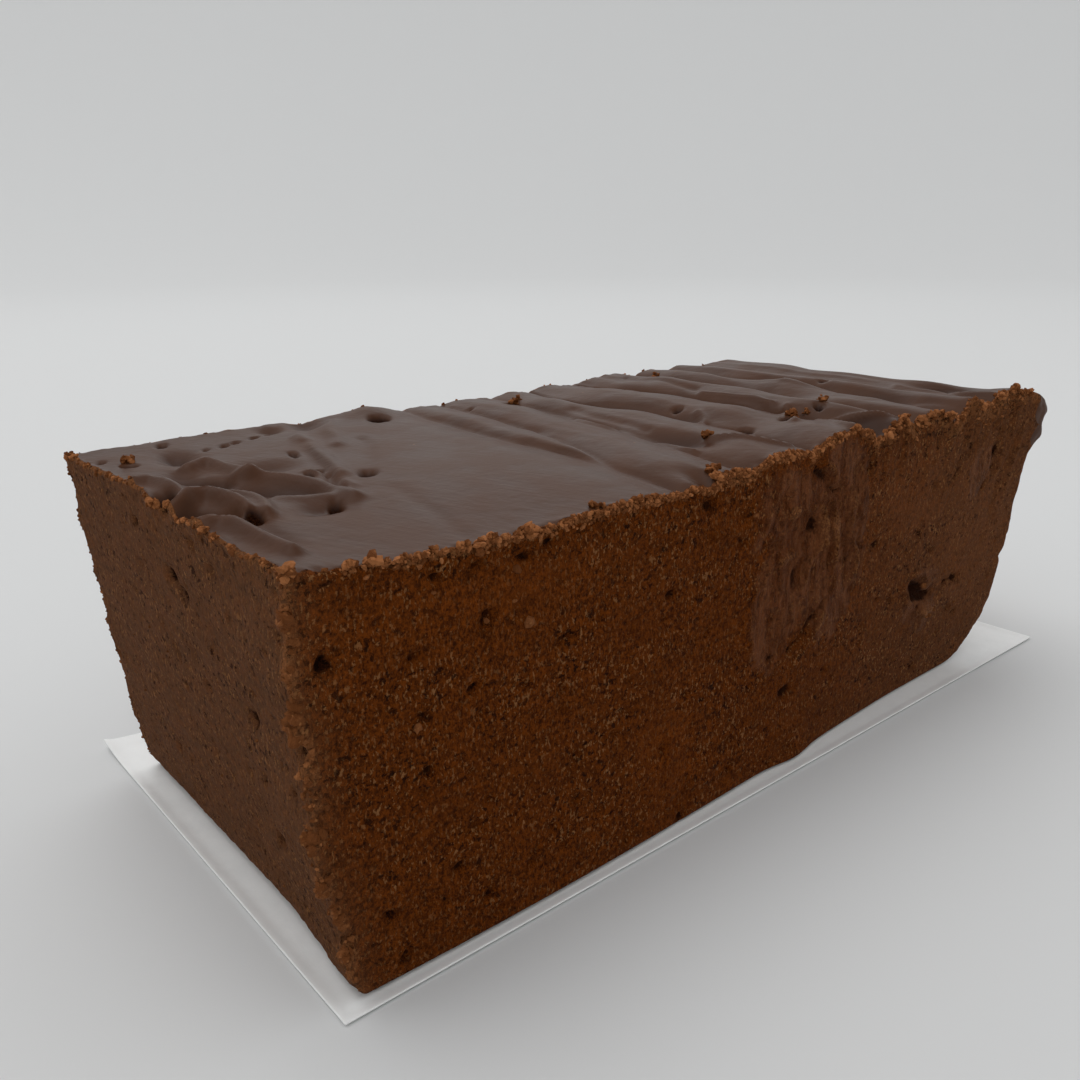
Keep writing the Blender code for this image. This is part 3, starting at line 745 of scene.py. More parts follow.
def swell_relief(x, y):
    """Return the plateau and the swells: half a sine wave each, with its crest at its own place."""
    wander = 0.55 * layered_noise(np.stack((x * 0.25, y, x * 0.0), axis=1), 5.0, 301, 2)
    back_fade = 1.0 - 0.45 * smooth_step(12.0, 25.0, y)
    lines = [furrow_line(places, y) + wander for places, _, _, _ in FURROWS]
    lines.append(np.full_like(x, LAST_SWELL_END))
    relief = FURROW_DEPTH * (smooth_step(0.0, PLATEAU_FALL_LENGTH, lines[0] - x) - 1.0)
    for index, (_, height, crest, groove) in enumerate(FURROWS):
        span = np.maximum(lines[index + 1] - lines[index], 0.3)
        share = np.clip((x - lines[index]) / span, 0.0, 1.0)
        climb = np.where(share < crest, 0.5 * share / crest, 0.5 + 0.5 * (share - crest) / (1.0 - crest))
        uneven = back_fade * (1.0 + 0.35 * noise(np.stack((x * 0.1, y, x * 0.0), axis=1), 6.5, 330 + index))
        relief += height * uneven * smooth_step(0.3, 2.5, span) * np.sin(math.pi * climb)
        depth = groove * (0.7 + 0.5 * noise(np.stack((x * 0.1, y, x * 0.0), axis=1), 3.2, 310 + index))
        relief -= 1.3 * depth * bell((x - lines[index]) / 0.42)
        relief += 0.45 * depth * bell((x - lines[index] + 0.85) / 0.45)
    return relief


def rim_relief(x, y, size, leans):
    """Return the notches of the front rim and the broad swells and sags of the whole top."""
    relief = np.zeros_like(x)
    front = -size[1] / 2.0 - leans["front"]
    for place, half_width, depth, reach in NOTCHES:
        relief -= depth * bell((x - place) / half_width) * bell((y - front) / reach)
    for centre_x, centre_y, along, across, height in SWELLS:
        relief += height * bell(np.hypot((x - centre_x) / along, (y - centre_y) / across))
    return relief


def drag_lines(x, y):
    """Return faint parallel lines that the spatula left: a noise drawn out along its stroke."""
    turn = math.radians(61.0)
    along = x * math.cos(turn) + y * math.sin(turn)
    across = y * math.cos(turn) - x * math.sin(turn)
    stroke = noise(np.stack((along * 0.06, across, x * 0.0), axis=1), 0.9, 41)
    reach = smooth_step(-38.0, -34.0, x) * (1.0 - smooth_step(-18.0, -14.0, x)) * smooth_step(-6.0, 4.0, y)
    second = noise(np.stack((x, y * 0.07, x * 0.0), axis=1), 1.0, 43)
    third = noise(np.stack((x, y * 0.10, x * 0.0), axis=1), 2.1, 45)
    ribbed = 0.035 + 0.075 * smooth_step(10.0, 20.0, x)
    return 0.05 * stroke * reach + ribbed * (second + 1.3 * third) * smooth_step(-15.0, -11.0, x)


def side_shares(unit):
    """Return how much each point belongs to each side: a high power of its unit coordinate."""
    outward = np.clip(unit, 0.0, 1.0) ** SIDE_FADE
    inward = np.clip(-unit, 0.0, 1.0) ** SIDE_FADE
    return {"right": outward[:, 0], "back": outward[:, 1], "top": outward[:, 2], "left": inward[:, 0], "front": inward[:, 1]}


def smear_share(x, z):
    """Return how smeared the front cut is: soft ovals with a ragged outline."""
    place = np.stack((x, z, x * 0.0), axis=1)
    bare = np.ones_like(x)
    ragged = 0.45 * layered_noise(place, 3.4, 71)
    for centre_x, centre_z, half_width, half_height in SMEAR_BLOBS:
        out = np.hypot((x - centre_x) / half_width, (z - centre_z) / half_height)
        bare *= 1.0 - smooth_step(1.30, 0.70, out + ragged)
    return 1.0 - bare


def cut_depth(a, b, points, table, random, smear):
    """Return how deep one cut face is eaten: named pits, scattered pores and a grainy unevenness."""
    wobble = 0.42 * layered_noise(points, 1.1, 11, 2)
    other = 0.42 * layered_noise(points, 1.1, 13, 2)
    low = (a.min(), b.min())
    high = (a.max(), b.max())
    area = (high[0] - low[0]) * (high[1] - low[1])
    pores = scattered_pits(random, int(area * 0.035), low, high, (0.24, 0.58), 0.95)
    named = 0.75 * ovals(a + wobble, b + other, table, 2.4)
    fine = ovals(a + wobble, b + other, pores, 2.4)
    grain = 0.10 * layered_noise(points, 1.5, 21) + 0.07 * noise(points, 0.55, 25)
    drag = 0.07 * noise(points * np.array((0.12, 0.12, 1.0)), 0.8, 27)
    return named + (fine + grain + drag) * (1.0 - 0.85 * smear)


def mould(unit, size, leans):
    """Return the slice's points for points of the unit box, and their masks for the finish.

    The box is rounded and leant, its walls bow and wave, each cut face is eaten inwards, and the top is
    raised by its relief: the broad part fades down the whole wall, the fine part within a few millimetres.
    """
    shares = side_shares(unit)
    points = unit * np.array(size) / 2.0
    points[:, 2] += size[2] / 2.0
    round_edges(points, size)
    lean_walls(points, size, leans)
    stray_walls(points, size)
    outward = points * np.array((2.0 / size[0], 2.0 / size[1], 0.0))
    outward = np.sign(outward) * np.abs(outward) ** 10
    wave = FACE_UNEVENNESS * slow_wave(points) * smooth_step(0.5, 4.0, points[:, 2])
    points += np.clip(outward, -1.0, 1.0) * wave[:, None]
    still = points.copy()
    x, y, z = still.T
    rise = np.clip(z / size[2], 0.0, 1.0)
    above_foot = smooth_step(0.0, 1.2, z)

    smear = smear_share(x, z) * shares["front"]
    random = np.random.default_rng(7)
    empty = np.zeros((0, 6))
    swirl_x = x + 0.55 * layered_noise(still, 2.2, 73, 2)
    swirl_z = z + 0.55 * layered_noise(still, 2.2, 74, 2)
    folds = ridges(swirl_x, swirl_z, FRONT_FOLDS)
    flow = np.stack((x + 1.6 * noise(still, 6.0, 78) + 0.18 * z, z * 0.26, x * 0.0), axis=1)
    folds += 0.42 * layered_noise(flow, 1.15, 79, 2) * smear
    front = cut_depth(x, z, still, FRONT_PITS, random, smear) - folds
    left = cut_depth(y, z, still, LEFT_PITS, random, smear * 0.0)
    back = cut_depth(x, z, still, empty, random, smear * 0.0)
    hanging = np.stack((x + 0.6 * noise(still, 3.0, 76), z * 0.16, x * 0.0), axis=1)
    wrinkles = 0.42 * layered_noise(hanging, 1.3, 77, 2) * smooth_step(13.0, 18.0, x) * smooth_step(24.0, 33.0, z)
    front -= wrinkles * (1.0 - 0.5 * smear)
    points[:, 1] += front * shares["front"] * above_foot
    points[:, 1] -= back * shares["back"] * above_foot
    points[:, 0] += left * shares["left"] * above_foot
    points[:, 0] -= 0.10 * layered_noise(still, 2.4, 31) * shares["right"] * above_foot

    near_edge = bell(np.hypot((1.0 + unit[:, 0]) * size[0] / 2.0, (1.0 + unit[:, 1]) * size[1] / 2.0) / 1.3)
    tall = np.stack((x * 0.25, y * 0.25, z), axis=1)
    lumps = 0.22 * layered_noise(tall, 2.6, 51, 2) + 0.13 * noise(tall, 0.9, 53) - 0.06
    knobs = sum(height * bell((z - place) / (0.7 * radius)) for place, radius, height in EDGE_LUMPS)
    lumps += 1.05 * knobs
    points[:, 0] -= 1.15 * near_edge * lumps * above_foot
    points[:, 1] -= 0.75 * near_edge * lumps * above_foot
    far_edge = bell(np.hypot((1.0 + unit[:, 0]) * size[0] / 2.0, (1.0 - unit[:, 1]) * size[1] / 2.0) / 0.9)
    points[:, 0] -= 0.22 * far_edge * layered_noise(still, 0.9, 58, 2) * above_foot

    broad = swell_relief(x, y) + rim_relief(x, y, size, leans)
    bend = 0.20 + 0.40 * smooth_step(-34.0, -28.0, x)
    bent_x = x + bend * noise(still, 4.2, 62)
    bent_y = y + bend * noise(still, 4.2, 64)
    fine = ridges(bent_x, bent_y, TOP_FOLDS) - ridges(bent_x, bent_y, TOP_CHANNELS)
    fine -= ovals(bent_x, bent_y, HOLLOWS, 2.0)
    warp = 0.18 * noise(still, 1.6, 61)
    pits = ovals(x + warp, y - warp, TOP_PITS, 2.5)
    inset_x = (1.0 + unit[:, 0]) * size[0] / 2.0
    inset_y = (1.0 - np.abs(unit[:, 1])) * size[1] / 2.0
    inset = np.minimum(inset_x, inset_y)
    edge = bell(inset / 0.75) * (1.0 - smooth_step(50.0, 54.0, x))
    on_front = np.clip(-y / 22.0, 0.0, 1.0) ** 12
    crumble = edge * (0.26 * noise(still, 1.25, 81) + 0.22 * noise(still, 0.62, 82)) * (0.35 + 0.65 * on_front)
    crumble += 0.22 * bell((inset_x - 0.1) / 0.45) * (1.0 - on_front)
    band = np.interp(x, BAND_X, BAND_HEIGHT) * on_front + 0.5 * (1.0 - on_front)
    folded = on_front * smooth_step(14.0, 18.0, x) * bell(np.maximum(size[2] - z, 0.0) / np.maximum(band, 0.5))
    clod = 0.55 * layered_noise(still, 1.9, 85, 3) + 0.12
    points[:, 1] -= folded * shares["front"] * clod
    points[:, 2] += folded * edge * 0.5 * layered_noise(still, 1.7, 88, 3)
    top_fade = smooth_step(size[2] - 6.0, size[2] - 0.6, z)
    points[:, 2] += broad * smooth_step(0.0, 1.0, rise)
    points[:, 2] += (fine + drag_lines(x, y)) * smooth_step(size[2] - 5.0, size[2] - 0.3, z)
    points[:, 2] += (crumble * top_fade - pits * shares["top"])
    lobe = np.zeros_like(x)
    for centre, radius, push in LOBES:
        nearness = bell(np.linalg.norm(points - np.array(centre), axis=1) / radius)
        points += nearness[:, None] * np.array(push)
        lobe = np.maximum(lobe, nearness)

    jitter = 0.5 * layered_noise(still, 1.3, 91)
    on_top = unit[:, 2] > 1.0 - 1e-6
    skin = np.where(on_top, smooth_step(0.05, 0.75, inset + jitter), 0.0)
    roll = shares["right"] * smooth_step(size[2] - 5.5, size[2] - 2.0, z + 2.0 * jitter)
    skin = np.maximum(np.maximum(skin, roll), smooth_step(0.35, 0.60, lobe))
    below = np.where(on_top, 0.0, size[2] - z)
    under_rim = (1.0 - smooth_step(0.35, 1.1, below / band + 0.45 * jitter)) * (1.0 - skin)
    under_rim *= 1.0 - 0.8 * on_front * (1.0 - smooth_step(-49.0, -45.5, x))
    from_left = (1.0 + unit[:, 0]) * size[0] / 2.0
    from_front = (1.0 + unit[:, 1]) * size[1] / 2.0
    upright = 0.60 * bell(np.hypot(from_left / 0.35, from_front / 0.40))
    upright += 0.6 * bell(np.hypot(from_left / 1.1, from_front / 1.2)) * smooth_step(0.10, 0.50, noise(tall, 1.9, 59))
    upright += 1.6 * bell(np.hypot(from_left / 0.9, from_front / 1.0)) * smooth_step(0.15, 0.40, knobs)
    crumbly = np.clip(np.maximum(under_rim, upright), 0.0, 1.0) * (1.0 - shares["right"])
    # How deep the pits are: the finish paints shade into them by it, and deep pits break the skin.
    pitted = np.clip(pits * shares["top"] + np.maximum(front - 0.15, 0.0) * shares["front"], 0.0, 2.0)
    pitted = np.maximum(pitted, np.maximum(left - 0.15, 0.0) * shares["left"])
    pitted = np.maximum(pitted, np.maximum(back - 0.15, 0.0) * shares["back"])
    calm = np.zeros_like(x)
    for centre_x, centre_z, half_width, half_height in CALM_BLOBS:
        out = np.hypot((x - centre_x) / half_width, (z - centre_z) / half_height)
        calm = np.maximum(calm, smooth_step(1.25, 0.6, out + 0.4 * jitter))
    masks = {
        "skin": skin,
        # Where the front's folds rise: the finish paints a highlight on these crests.
        "crest": np.clip(folds, 0.0, 1.0) * shares["front"],
        "calm": np.maximum(calm * shares["front"], 0.3 * shares["left"]) + 0.8 * near_edge,
        "crumbly": crumbly,
        "smear": smear,
        "pitted": pitted,
        "pan": shares["right"],
        "end": shares["left"],
        # The depth of the top's hollows and channels, used only to paint shade into them.
        "hollow_shade": np.clip(-fine, 0.0, 2.0) * shares["top"],
    }
    return points, masks


# ---------------------------------------------------------------------------------------------------
# Meshes


def frame_shift():
    """Return the step in millimetres from the slice's frame to the solids' frame, read from the paper."""
    low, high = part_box("wax_paper")
    return np.array((high[0] * MILLIMETRES - PAPER_RIGHT, low[1] * MILLIMETRES - PAPER_FRONT, 0.0))


def place_in_frame(points):
    """Return points in metres in the solids' frame."""
    return (points + frame_shift()) * METRES


def mesh_piece(name, points, loops, masks, material, smooth=True):
    """Put points, face loops and point masks into a named mesh object, shaded smooth or faceted."""
    mesh = bpy.data.meshes.new(name)
    faces = [face for group in loops for face in group.tolist()]
    mesh.from_pydata(points.tolist(), [], faces)
    mesh.update(calc_edges=True)
    for mask, values in masks.items():
        attribute = mesh.attributes.new(mask, "FLOAT", "POINT")
        attribute.data.foreach_set("value", np.ascontiguousarray(values, dtype=np.float32))
    if smooth:
        mesh.shade_smooth()
    mesh.materials.append(material)
    piece = bpy.data.objects.new(name, mesh)
    bpy.context.scene.collection.objects.link(piece)
    return piece


def slice_sizes(settings):
    """Return the slice's length, width and height and its leans, in millimetres."""
    size = tuple(value * MILLIMETRES for value in (settings.base_length, settings.base_width, settings.height))
    leans = {
        "pan": settings.lean_pan_end * MILLIMETRES,
        "cut": settings.lean_cut_end * MILLIMETRES,
        "front": settings.lean_front * MILLIMETRES,
        "back": settings.lean_back * MILLIMETRES,
    }
    return size, leans


def settle(points, size, thickness):
    """Stand the slice on its paper: the base comes down to the paper and the top stays at its height."""
    lowered = points.copy()
    rise = np.clip(points[:, 2] / size[2], 0.0, 1.0)
    lowered[:, 2] += SOLID_REST * rise + (thickness + 0.02) * (1.0 - rise)
    return lowered


def crumb_shape(cells):
    """Return the points and loops of one closed lump: a box of cells drawn on to a ball."""
    steps = {side: 1 for side in SIDE_STEPS}
    unit, loops = box_shell((cells, cells, cells), steps)
    curved = np.tan(unit * math.pi / 5.0)
    return curved / np.linalg.norm(curved, axis=1)[:, None], loops


def random_turns(random, count):
    """Return random rotation matrices, from unit quaternions of four random numbers each."""
    w, x, y, z = (random.normal(size=(count, 4)) * 1.0).T
    length = np.sqrt(w * w + x * x + y * y + z * z)
    w, x, y, z = w / length, x / length, y / length, z / length
    rows = (
        (1 - 2 * (y * y + z * z), 2 * (x * y - z * w), 2 * (x * z + y * w)),
        (2 * (x * y + z * w), 1 - 2 * (x * x + z * z), 2 * (y * z - x * w)),
        (2 * (x * z - y * w), 2 * (y * z + x * w), 1 - 2 * (x * x + y * y)),
    )
    return np.stack([np.stack(row, axis=-1) for row in rows], axis=1)


def crumb_cloud(random, centres, radii, cells, roughness, palest):
    """Return all crumbs as one array of points with their loops: knobbly, squashed and turned balls."""
    ball, loops = crumb_shape(cells)
    count = len(centres)
    seeds = random.uniform(0.0, 500.0, (count, 1, 3))
    field = noise((ball[None] * 1.0 + seeds).reshape(-1, 3), 0.75, 5).reshape(count, -1)
    knob = noise((ball[None] * 1.0 + seeds).reshape(-1, 3), 0.38, 6).reshape(count, -1)
    swell = 1.0 + roughness * field + 0.6 * roughness * knob
    squash = random.uniform(0.60, 1.25, (count, 1, 3))
    shaped = ball[None] * swell[:, :, None] * squash * radii[:, None, None]
    turned = np.einsum("nij,nkj->nki", random_turns(random, count), shaped)
    points = (turned + centres[:, None, :]).reshape(-1, 3)
    offsets = (np.arange(count) * len(ball))[:, None, None]
    all_loops = [(loop[None] + offsets).reshape(-1, loop.shape[1]) for loop in loops]
    tone = np.repeat(palest * random.random(count), len(ball))
    return points, all_loops, {"tone": tone}


def keep_inside(points):
    """Return points in metres kept within a little more than the solids' box, and above the floor."""
    low = np.array(CAD_LOW) - np.array((BOX_MARGIN, BOX_MARGIN, 0.0))
    return np.clip(points, low, np.array(CAD_HIGH) + BOX_MARGIN)


# ---------------------------------------------------------------------------------------------------
# Materials


class Signal:
    """A shader socket in arithmetic: each operator adds the maths node that works it out."""

    def __init__(self, tree, socket):
        self.tree = tree
        self.socket = socket

    def math(self, operation, *values, clamp=False):
        """Return the result of one maths node on these values."""
        node = self.tree.nodes.new("ShaderNodeMath")
        node.operation = operation
        node.use_clamp = clamp
        for place, value in zip(node.inputs, values):
            if isinstance(value, Signal):
                self.tree.links.new(value.socket, place)
            else:
                place.default_value = value
        return Signal(self.tree, node.outputs[0])

    def __add__(self, other):
        return self.math("ADD", self, other)

    def __radd__(self, other):
        return self.math("ADD", other, self)

    def __sub__(self, other):
        return self.math("SUBTRACT", self, other)

    def __rsub__(self, other):
        return self.math("SUBTRACT", other, self)

    def __mul__(self, other):
        return self.math("MULTIPLY", self, other)

    def __rmul__(self, other):
        return self.math("MULTIPLY", other, self)

    def __pow__(self, other):
        return self.math("POWER", self, other)

    def limit(self):
        """Return the value kept from 0 to 1."""
        return self.math("ADD", self, 0.0, clamp=True)

    def step(self, low, high):
        """Return 0 below low and 1 above high, with a smooth rise between them."""
        values = {"Value": self, "From Min": low, "From Max": high}
        return self.make("ShaderNodeMapRange", {"interpolation_type": "SMOOTHSTEP"}, values)

    def make(self, kind, settings=None, values=None, output=0):
        """Make any other node, with its settings first and then its sockets, and return one output."""
        node = self.tree.nodes.new(kind)
        for name, value in (settings or {}).items():
            setattr(node, name, value)
        for name, value in (values or {}).items():
            if isinstance(value, Signal):
                self.tree.links.new(value.socket, node.inputs[name])
            else:
                node.inputs[name].default_value = value
        return Signal(self.tree, node.outputs[output])


def colour4(colour):
    """Return a colour with full alpha."""
    return (*colour, 1.0)


def start_material(name):
    """Return an empty material, a signal to build from and the place of its points in millimetres."""
    material = bpy.data.materials.new(name)
    material.use_nodes = True
    tree = material.node_tree
    tree.nodes.clear()
    start = Signal(tree, None)
    place = start.make("ShaderNodeTexCoord", output=3)
    scaled = start.make("ShaderNodeMapping", {"vector_type": "POINT"}, {"Vector": place, "Scale": (MILLIMETRES,) * 3})
    return material, start, scaled


def finish_material(start, surface):
    """Join a shader to the material's output."""
    start.make_output = start.tree.nodes.new("ShaderNodeOutputMaterial")
    start.tree.links.new(surface.socket, start.make_output.inputs["Surface"])


def mix_colour(start, share, first, second):
    """Return the first colour where share is 0 and the second where it is 1."""
    node = start.tree.nodes.new("ShaderNodeMix")
    node.data_type = "RGBA"
    for index, value in ((0, share), (6, first), (7, second)):
        if isinstance(value, Signal):
            start.tree.links.new(value.socket, node.inputs[index])
        else:
            node.inputs[index].default_value = value if index == 0 else colour4(value)
    return Signal(start.tree, node.outputs[2])


def speckle(start, place, pitch, size, share):
    """Return spots: cells of a scattered pattern, of which a share holds a spot of about that size."""
    cells = {"Vector": place, "Scale": 1.0 / pitch, "Randomness": 1.0}
    distance = start.make("ShaderNodeTexVoronoi", {}, cells)
    chance = start.make("ShaderNodeSeparateColor", {}, {"Color": start.make("ShaderNodeTexVoronoi", {}, cells, 1)})
    edge = distance.step(size / pitch, 0.45 * size / pitch)
    return edge * chance.step(1.0 - share, 1.0 - 0.6 * share)


def soft_noise(start, place, pitch, detail=2.0, roughness=0.5):
    """Return a noise pattern with features of about that pitch in millimetres."""
    return start.make("ShaderNodeTexNoise", {}, {"Vector": place, "Scale": 1.0 / pitch, "Detail": detail, "Roughness": roughness})


def stretched(start, place, scale, turn=(0.0, 0.0, 0.0)):
    """Return the place scaled by three numbers after turns about the three axes in degrees."""
    angles = tuple(math.radians(angle) for angle in turn)
    turned = start.make("ShaderNodeMapping", {}, {"Vector": place, "Rotation": angles})
    return start.make("ShaderNodeMapping", {}, {"Vector": turned, "Scale": scale})


def shifted(start, place, step):
    """Return the place moved by the same step on all axes, for a pattern of its own."""
    return start.make("ShaderNodeMapping", {}, {"Vector": place, "Location": (step, step, step)})


def grain_pattern(start, place):
    """Return the fudge's grain: sand, finer sand, lumps, pore and fleck spots, and the knife's drag."""
    upward = stretched(start, place, (1.15, 1.15, 0.78))
    sand = soft_noise(start, upward, 0.42, 4.0, 0.68)
    fine = soft_noise(start, shifted(start, upward, 31.0), 0.17, 2.0, 0.5)
    lumps = soft_noise(start, place, 1.5, 2.0, 0.55)
    crowd = soft_noise(start, stretched(start, place, (0.6, 0.6, 1.0)), 3.6, 2.0, 0.5).step(0.36, 0.64)
    pores = soft_noise(start, stretched(start, shifted(start, place, 57.0), (1.0, 1.0, 1.05)), 0.62, 3.0, 0.62)
    pores = (1.0 - pores.step(0.365, 0.42)) * (0.50 + 0.50 * crowd)
    flecks = soft_noise(start, stretched(start, shifted(start, place, 83.0), (1.2, 1.2, 0.68)), 0.34, 2.5, 0.6)
    flecks = flecks.step(0.560, 0.640) * (0.35 + 0.65 * crowd)
    drag = soft_noise(start, stretched(start, place, (0.10, 0.10, 1.0)), 0.55, 2.0, 0.5)
    return sand, fine, lumps, pores, flecks, drag


def fudge_material(look):
    """Make the fudge's finish: a matt grainy cut, a smooth smear and a satin skin on top."""
    material, start, place = start_material("fudge")
    mask = {
        name: start.make("ShaderNodeAttribute", {"attribute_name": name}, {}, 2)
        for name in ("skin", "crumbly", "smear", "pitted", "pan", "calm", "crest", "end", "hollow_shade")
    }
    sand, fine, lumps, pores, flecks, drag = grain_pattern(start, place)
    ragged = soft_noise(start, place, 0.6, 2.0, 0.6)
    skin = (mask["skin"] + (ragged - 0.5) * 0.7).step(0.38, 0.58)
    smear = (mask["smear"] + (ragged - 0.5) * 0.9).step(0.20, 0.80)
    pan = mask["pan"].step(0.3, 0.9)
    rough = 1.0 - (smear * 0.62 + pan * 0.6).limit()
    grainy = rough * (1.0 - mask["calm"] * 0.30)
    crumbly = (mask["crumbly"] + (ragged - 0.5) * 1.0).step(0.35, 0.75) * (1.0 - smear * 0.6)
    pitted = (mask["pitted"] * (0.4 + 1.2 * ragged) + (sand - 0.5) * 0.9).step(0.16, 0.40)

    knife = soft_noise(start, stretched(start, place, (1.0, 0.24, 1.0), (-21.0, 0.0, 0.0)), 0.55, 3.0, 0.6)
    knife = (knife - 0.5) * mask["end"]
    # The grain's tone follows the sand and fine noise that also raise the bump. It is partly the fudge's own grain
    # colour, partly painted shade in low grains and painted highlight on high ones.
    tone = ((sand - 0.5) * 0.75 + (fine - 0.5) * 0.45) * (0.35 + 0.65 * grainy) + (drag - 0.5) * 0.14 + knife * 0.5 + 0.5
    colour = mix_colour(start, tone.step(0.37, 0.63), look.cut_dark_grain_and_shade, look.cut_colour)
    wide = soft_noise(start, place, 9.0, 2.0, 0.5).step(0.35, 0.65)
    far = start.make("ShaderNodeSeparateXYZ", {}, {"Vector": place}).step(-10.0, 45.0)
    colour = mix_colour(start, wide * 0.25, colour, look.cut_warm)
    # Paler and greyer towards the pan end. On the near end face the same colour is a painted sheen: the face is made
    # lighter and greyer as light falls on it.
    colour = mix_colour(start, (far * 0.45 + mask["end"] * 0.6).limit(), colour, look.cut_pale_and_end_sheen)
    colour = mix_colour(start, crumbly * sand.step(0.36, 0.56) * 0.9, colour, look.crumb_colour)
    # The smear's streaks: the darker colour lies where the streaks sink in the bump. It is partly streak tone and
    # partly painted shade in their grooves.
    streaks = soft_noise(start, stretched(start, shifted(start, place, 12.0), (1.0, 1.0, 0.30)), 1.1, 3.0, 0.6)
    smear_tone = mix_colour(start, streaks.step(0.38, 0.62), look.smear_dark_and_groove_shade, look.smear_colour)
    colour = mix_colour(start, smear * 0.62, colour, smear_tone)
    # Painted highlight: the crests of the front's folds take the pale speck colour. The flecks, which the bump also
    # raises, are partly pale specks and partly painted highlights on grain tips.
    crest = mask["crest"].step(0.18, 0.55) * (sand + fine).step(0.85, 1.15)
    colour = mix_colour(start, (flecks * grainy + crest * 0.40).limit(), colour, look.speck_and_highlight_colour)
    # Painted shade: the cut's pores and pits are laid over with a near-black colour, by how deep they are.
    colour = mix_colour(start, (pores * grainy * 0.85 + pitted * 0.85).limit(), colour, look.pit_shade_colour)

    height = sand * 1.65 + fine * 0.60 + flecks * 0.35 - pores * 1.30
    height = height * grainy + lumps * 0.28 + drag * 0.14 + streaks * smear * 1.5 + knife * 0.8
    cut_bump = start.make("ShaderNodeBump", {}, {"Strength": 1.0, "Distance": 0.001, "Height": height})
    cut = start.make(
        "ShaderNodeBsdfPrincipled",
        {},
        {
            "Base Color": colour,
            "Roughness": 0.75 - smear * 0.20 - pan * 0.12,
            "Specular IOR Level": look.cut_gloss,
            "Normal": cut_bump,
        },
    )

    film = soft_noise(start, place, 6.0, 3.0, 0.5).step(0.35, 0.65)
    skin_grain = soft_noise(start, place, 0.5, 2.0, 0.5)
    strokes = soft_noise(start, stretched(start, place, (1.0, 0.05, 1.0), (0.0, 0.0, -29.0)), 0.7, 2.0, 0.5)
    top_colour = mix_colour(start, film, look.skin_dark, look.skin_colour)
    dust = speckle(start, place, 1.6, 0.16, 0.05)
    top_colour = mix_colour(start, dust * 0.5, top_colour, look.speck_and_highlight_colour)
    # Painted shade: the top's pits and hollows are darkened towards a near-black colour by their depth.
    dark = (mask["pitted"].step(0.12, 0.75) * 0.95 + mask["hollow_shade"].step(0.10, 1.30) * 0.65).limit()
    top_colour = mix_colour(start, dark, top_colour, look.pit_shade_colour)
    top_bump = start.make(
        "ShaderNodeBump",
        {},
        {"Strength": 1.0, "Distance": 0.001, "Height": skin_grain * 0.02 + strokes * 0.03 + film * 0.05},
    )
    top = start.make(
        "ShaderNodeBsdfPrincipled",
        {},
        {
            "Base Color": top_colour,
            "Roughness": 0.36 + film * 0.06 + skin_grain * 0.04,
            "Specular IOR Level": look.skin_gloss,
            "Normal": top_bump,
        },
    )
    both = start.tree.nodes.new("ShaderNodeMixShader")
    for index, value in enumerate((skin * (1.0 - mask["pitted"].step(0.45, 1.0)), cut, top)):
        start.tree.links.new(value.socket, both.inputs[index])
    finish_material(start, Signal(start.tree, both.outputs[0]))
    return material


def crumb_material(look):
    """Make the crumbs' finish: matt tan and brown grains."""
    material, start, place = start_material("fudge_crumb")
    tone = start.make("ShaderNodeAttribute", {"attribute_name": "tone"}, {}, 2)
    sand = soft_noise(start, place, 0.35, 3.0, 0.65)
    colour = mix_colour(start, (tone * 0.9 + (sand - 0.5) * 0.9).step(0.1, 1.0), look.crumb_dark, look.crumb_colour)
    colour = mix_colour(start, speckle(start, place, 0.4, 0.16, 0.3) * 0.4, colour, look.speck_and_highlight_colour)
    bump = start.make("ShaderNodeBump", {}, {"Strength": 1.0, "Distance": 0.001, "Height": sand * 0.16})
    surface = start.make(
        "ShaderNodeBsdfPrincipled",
        {},
        {"Base Color": colour, "Roughness": 0.75, "Specular IOR Level": look.cut_gloss * 1.5, "Normal": bump},
    )
    finish_material(start, surface)
    return material


def paper_material(look):
    """Make the waxed paper's finish: pale, faintly fibrous and a little glossy."""
    material, start, place = start_material("waxed_paper")
    fibre = soft_noise(start, place, 3.0, 4.0, 0.6)
    colour = mix_colour(start, fibre.step(0.3, 0.7), look.paper_shade, look.paper_colour)
    bump = start.make("ShaderNodeBump", {}, {"Strength": 1.0, "Distance": 0.001, "Height": fibre * 0.05})
    surface = start.make(
        "ShaderNodeBsdfPrincipled",
        {},
        {"Base Color": colour, "Roughness": 0.42, "Specular IOR Level": 0.5, "Normal": bump},
    )
    finish_material(start, surface)
    return material


def plain_material(name, colour, roughness):
    """Make a plain matt finish."""
    material, start, _ = start_material(name)
    surface = start.make("ShaderNodeBsdfPrincipled", {}, {"Base Color": colour4(colour), "Roughness": roughness})
    finish_material(start, surface)
    return material


# ---------------------------------------------------------------------------------------------------
# Settings


def length_setting(name, description, default):
    """Return a length property in metres."""
    return bpy.props.FloatProperty(name=name, description=description, default=default, min=0.0, unit="LENGTH", precision=5)


def colour_setting(name, description, default):
    """Return a colour property."""
    return bpy.props.FloatVectorProperty(
        name=name, description=description, default=default, size=3, min=0.0, max=1.0, subtype="COLOR"
    )


def share_setting(name, description, default):
    """Return a property from 0 to 1."""
    return bpy.props.FloatProperty(name=name, description=description, default=default, min=0.0, max=1.0, subtype="FACTOR")


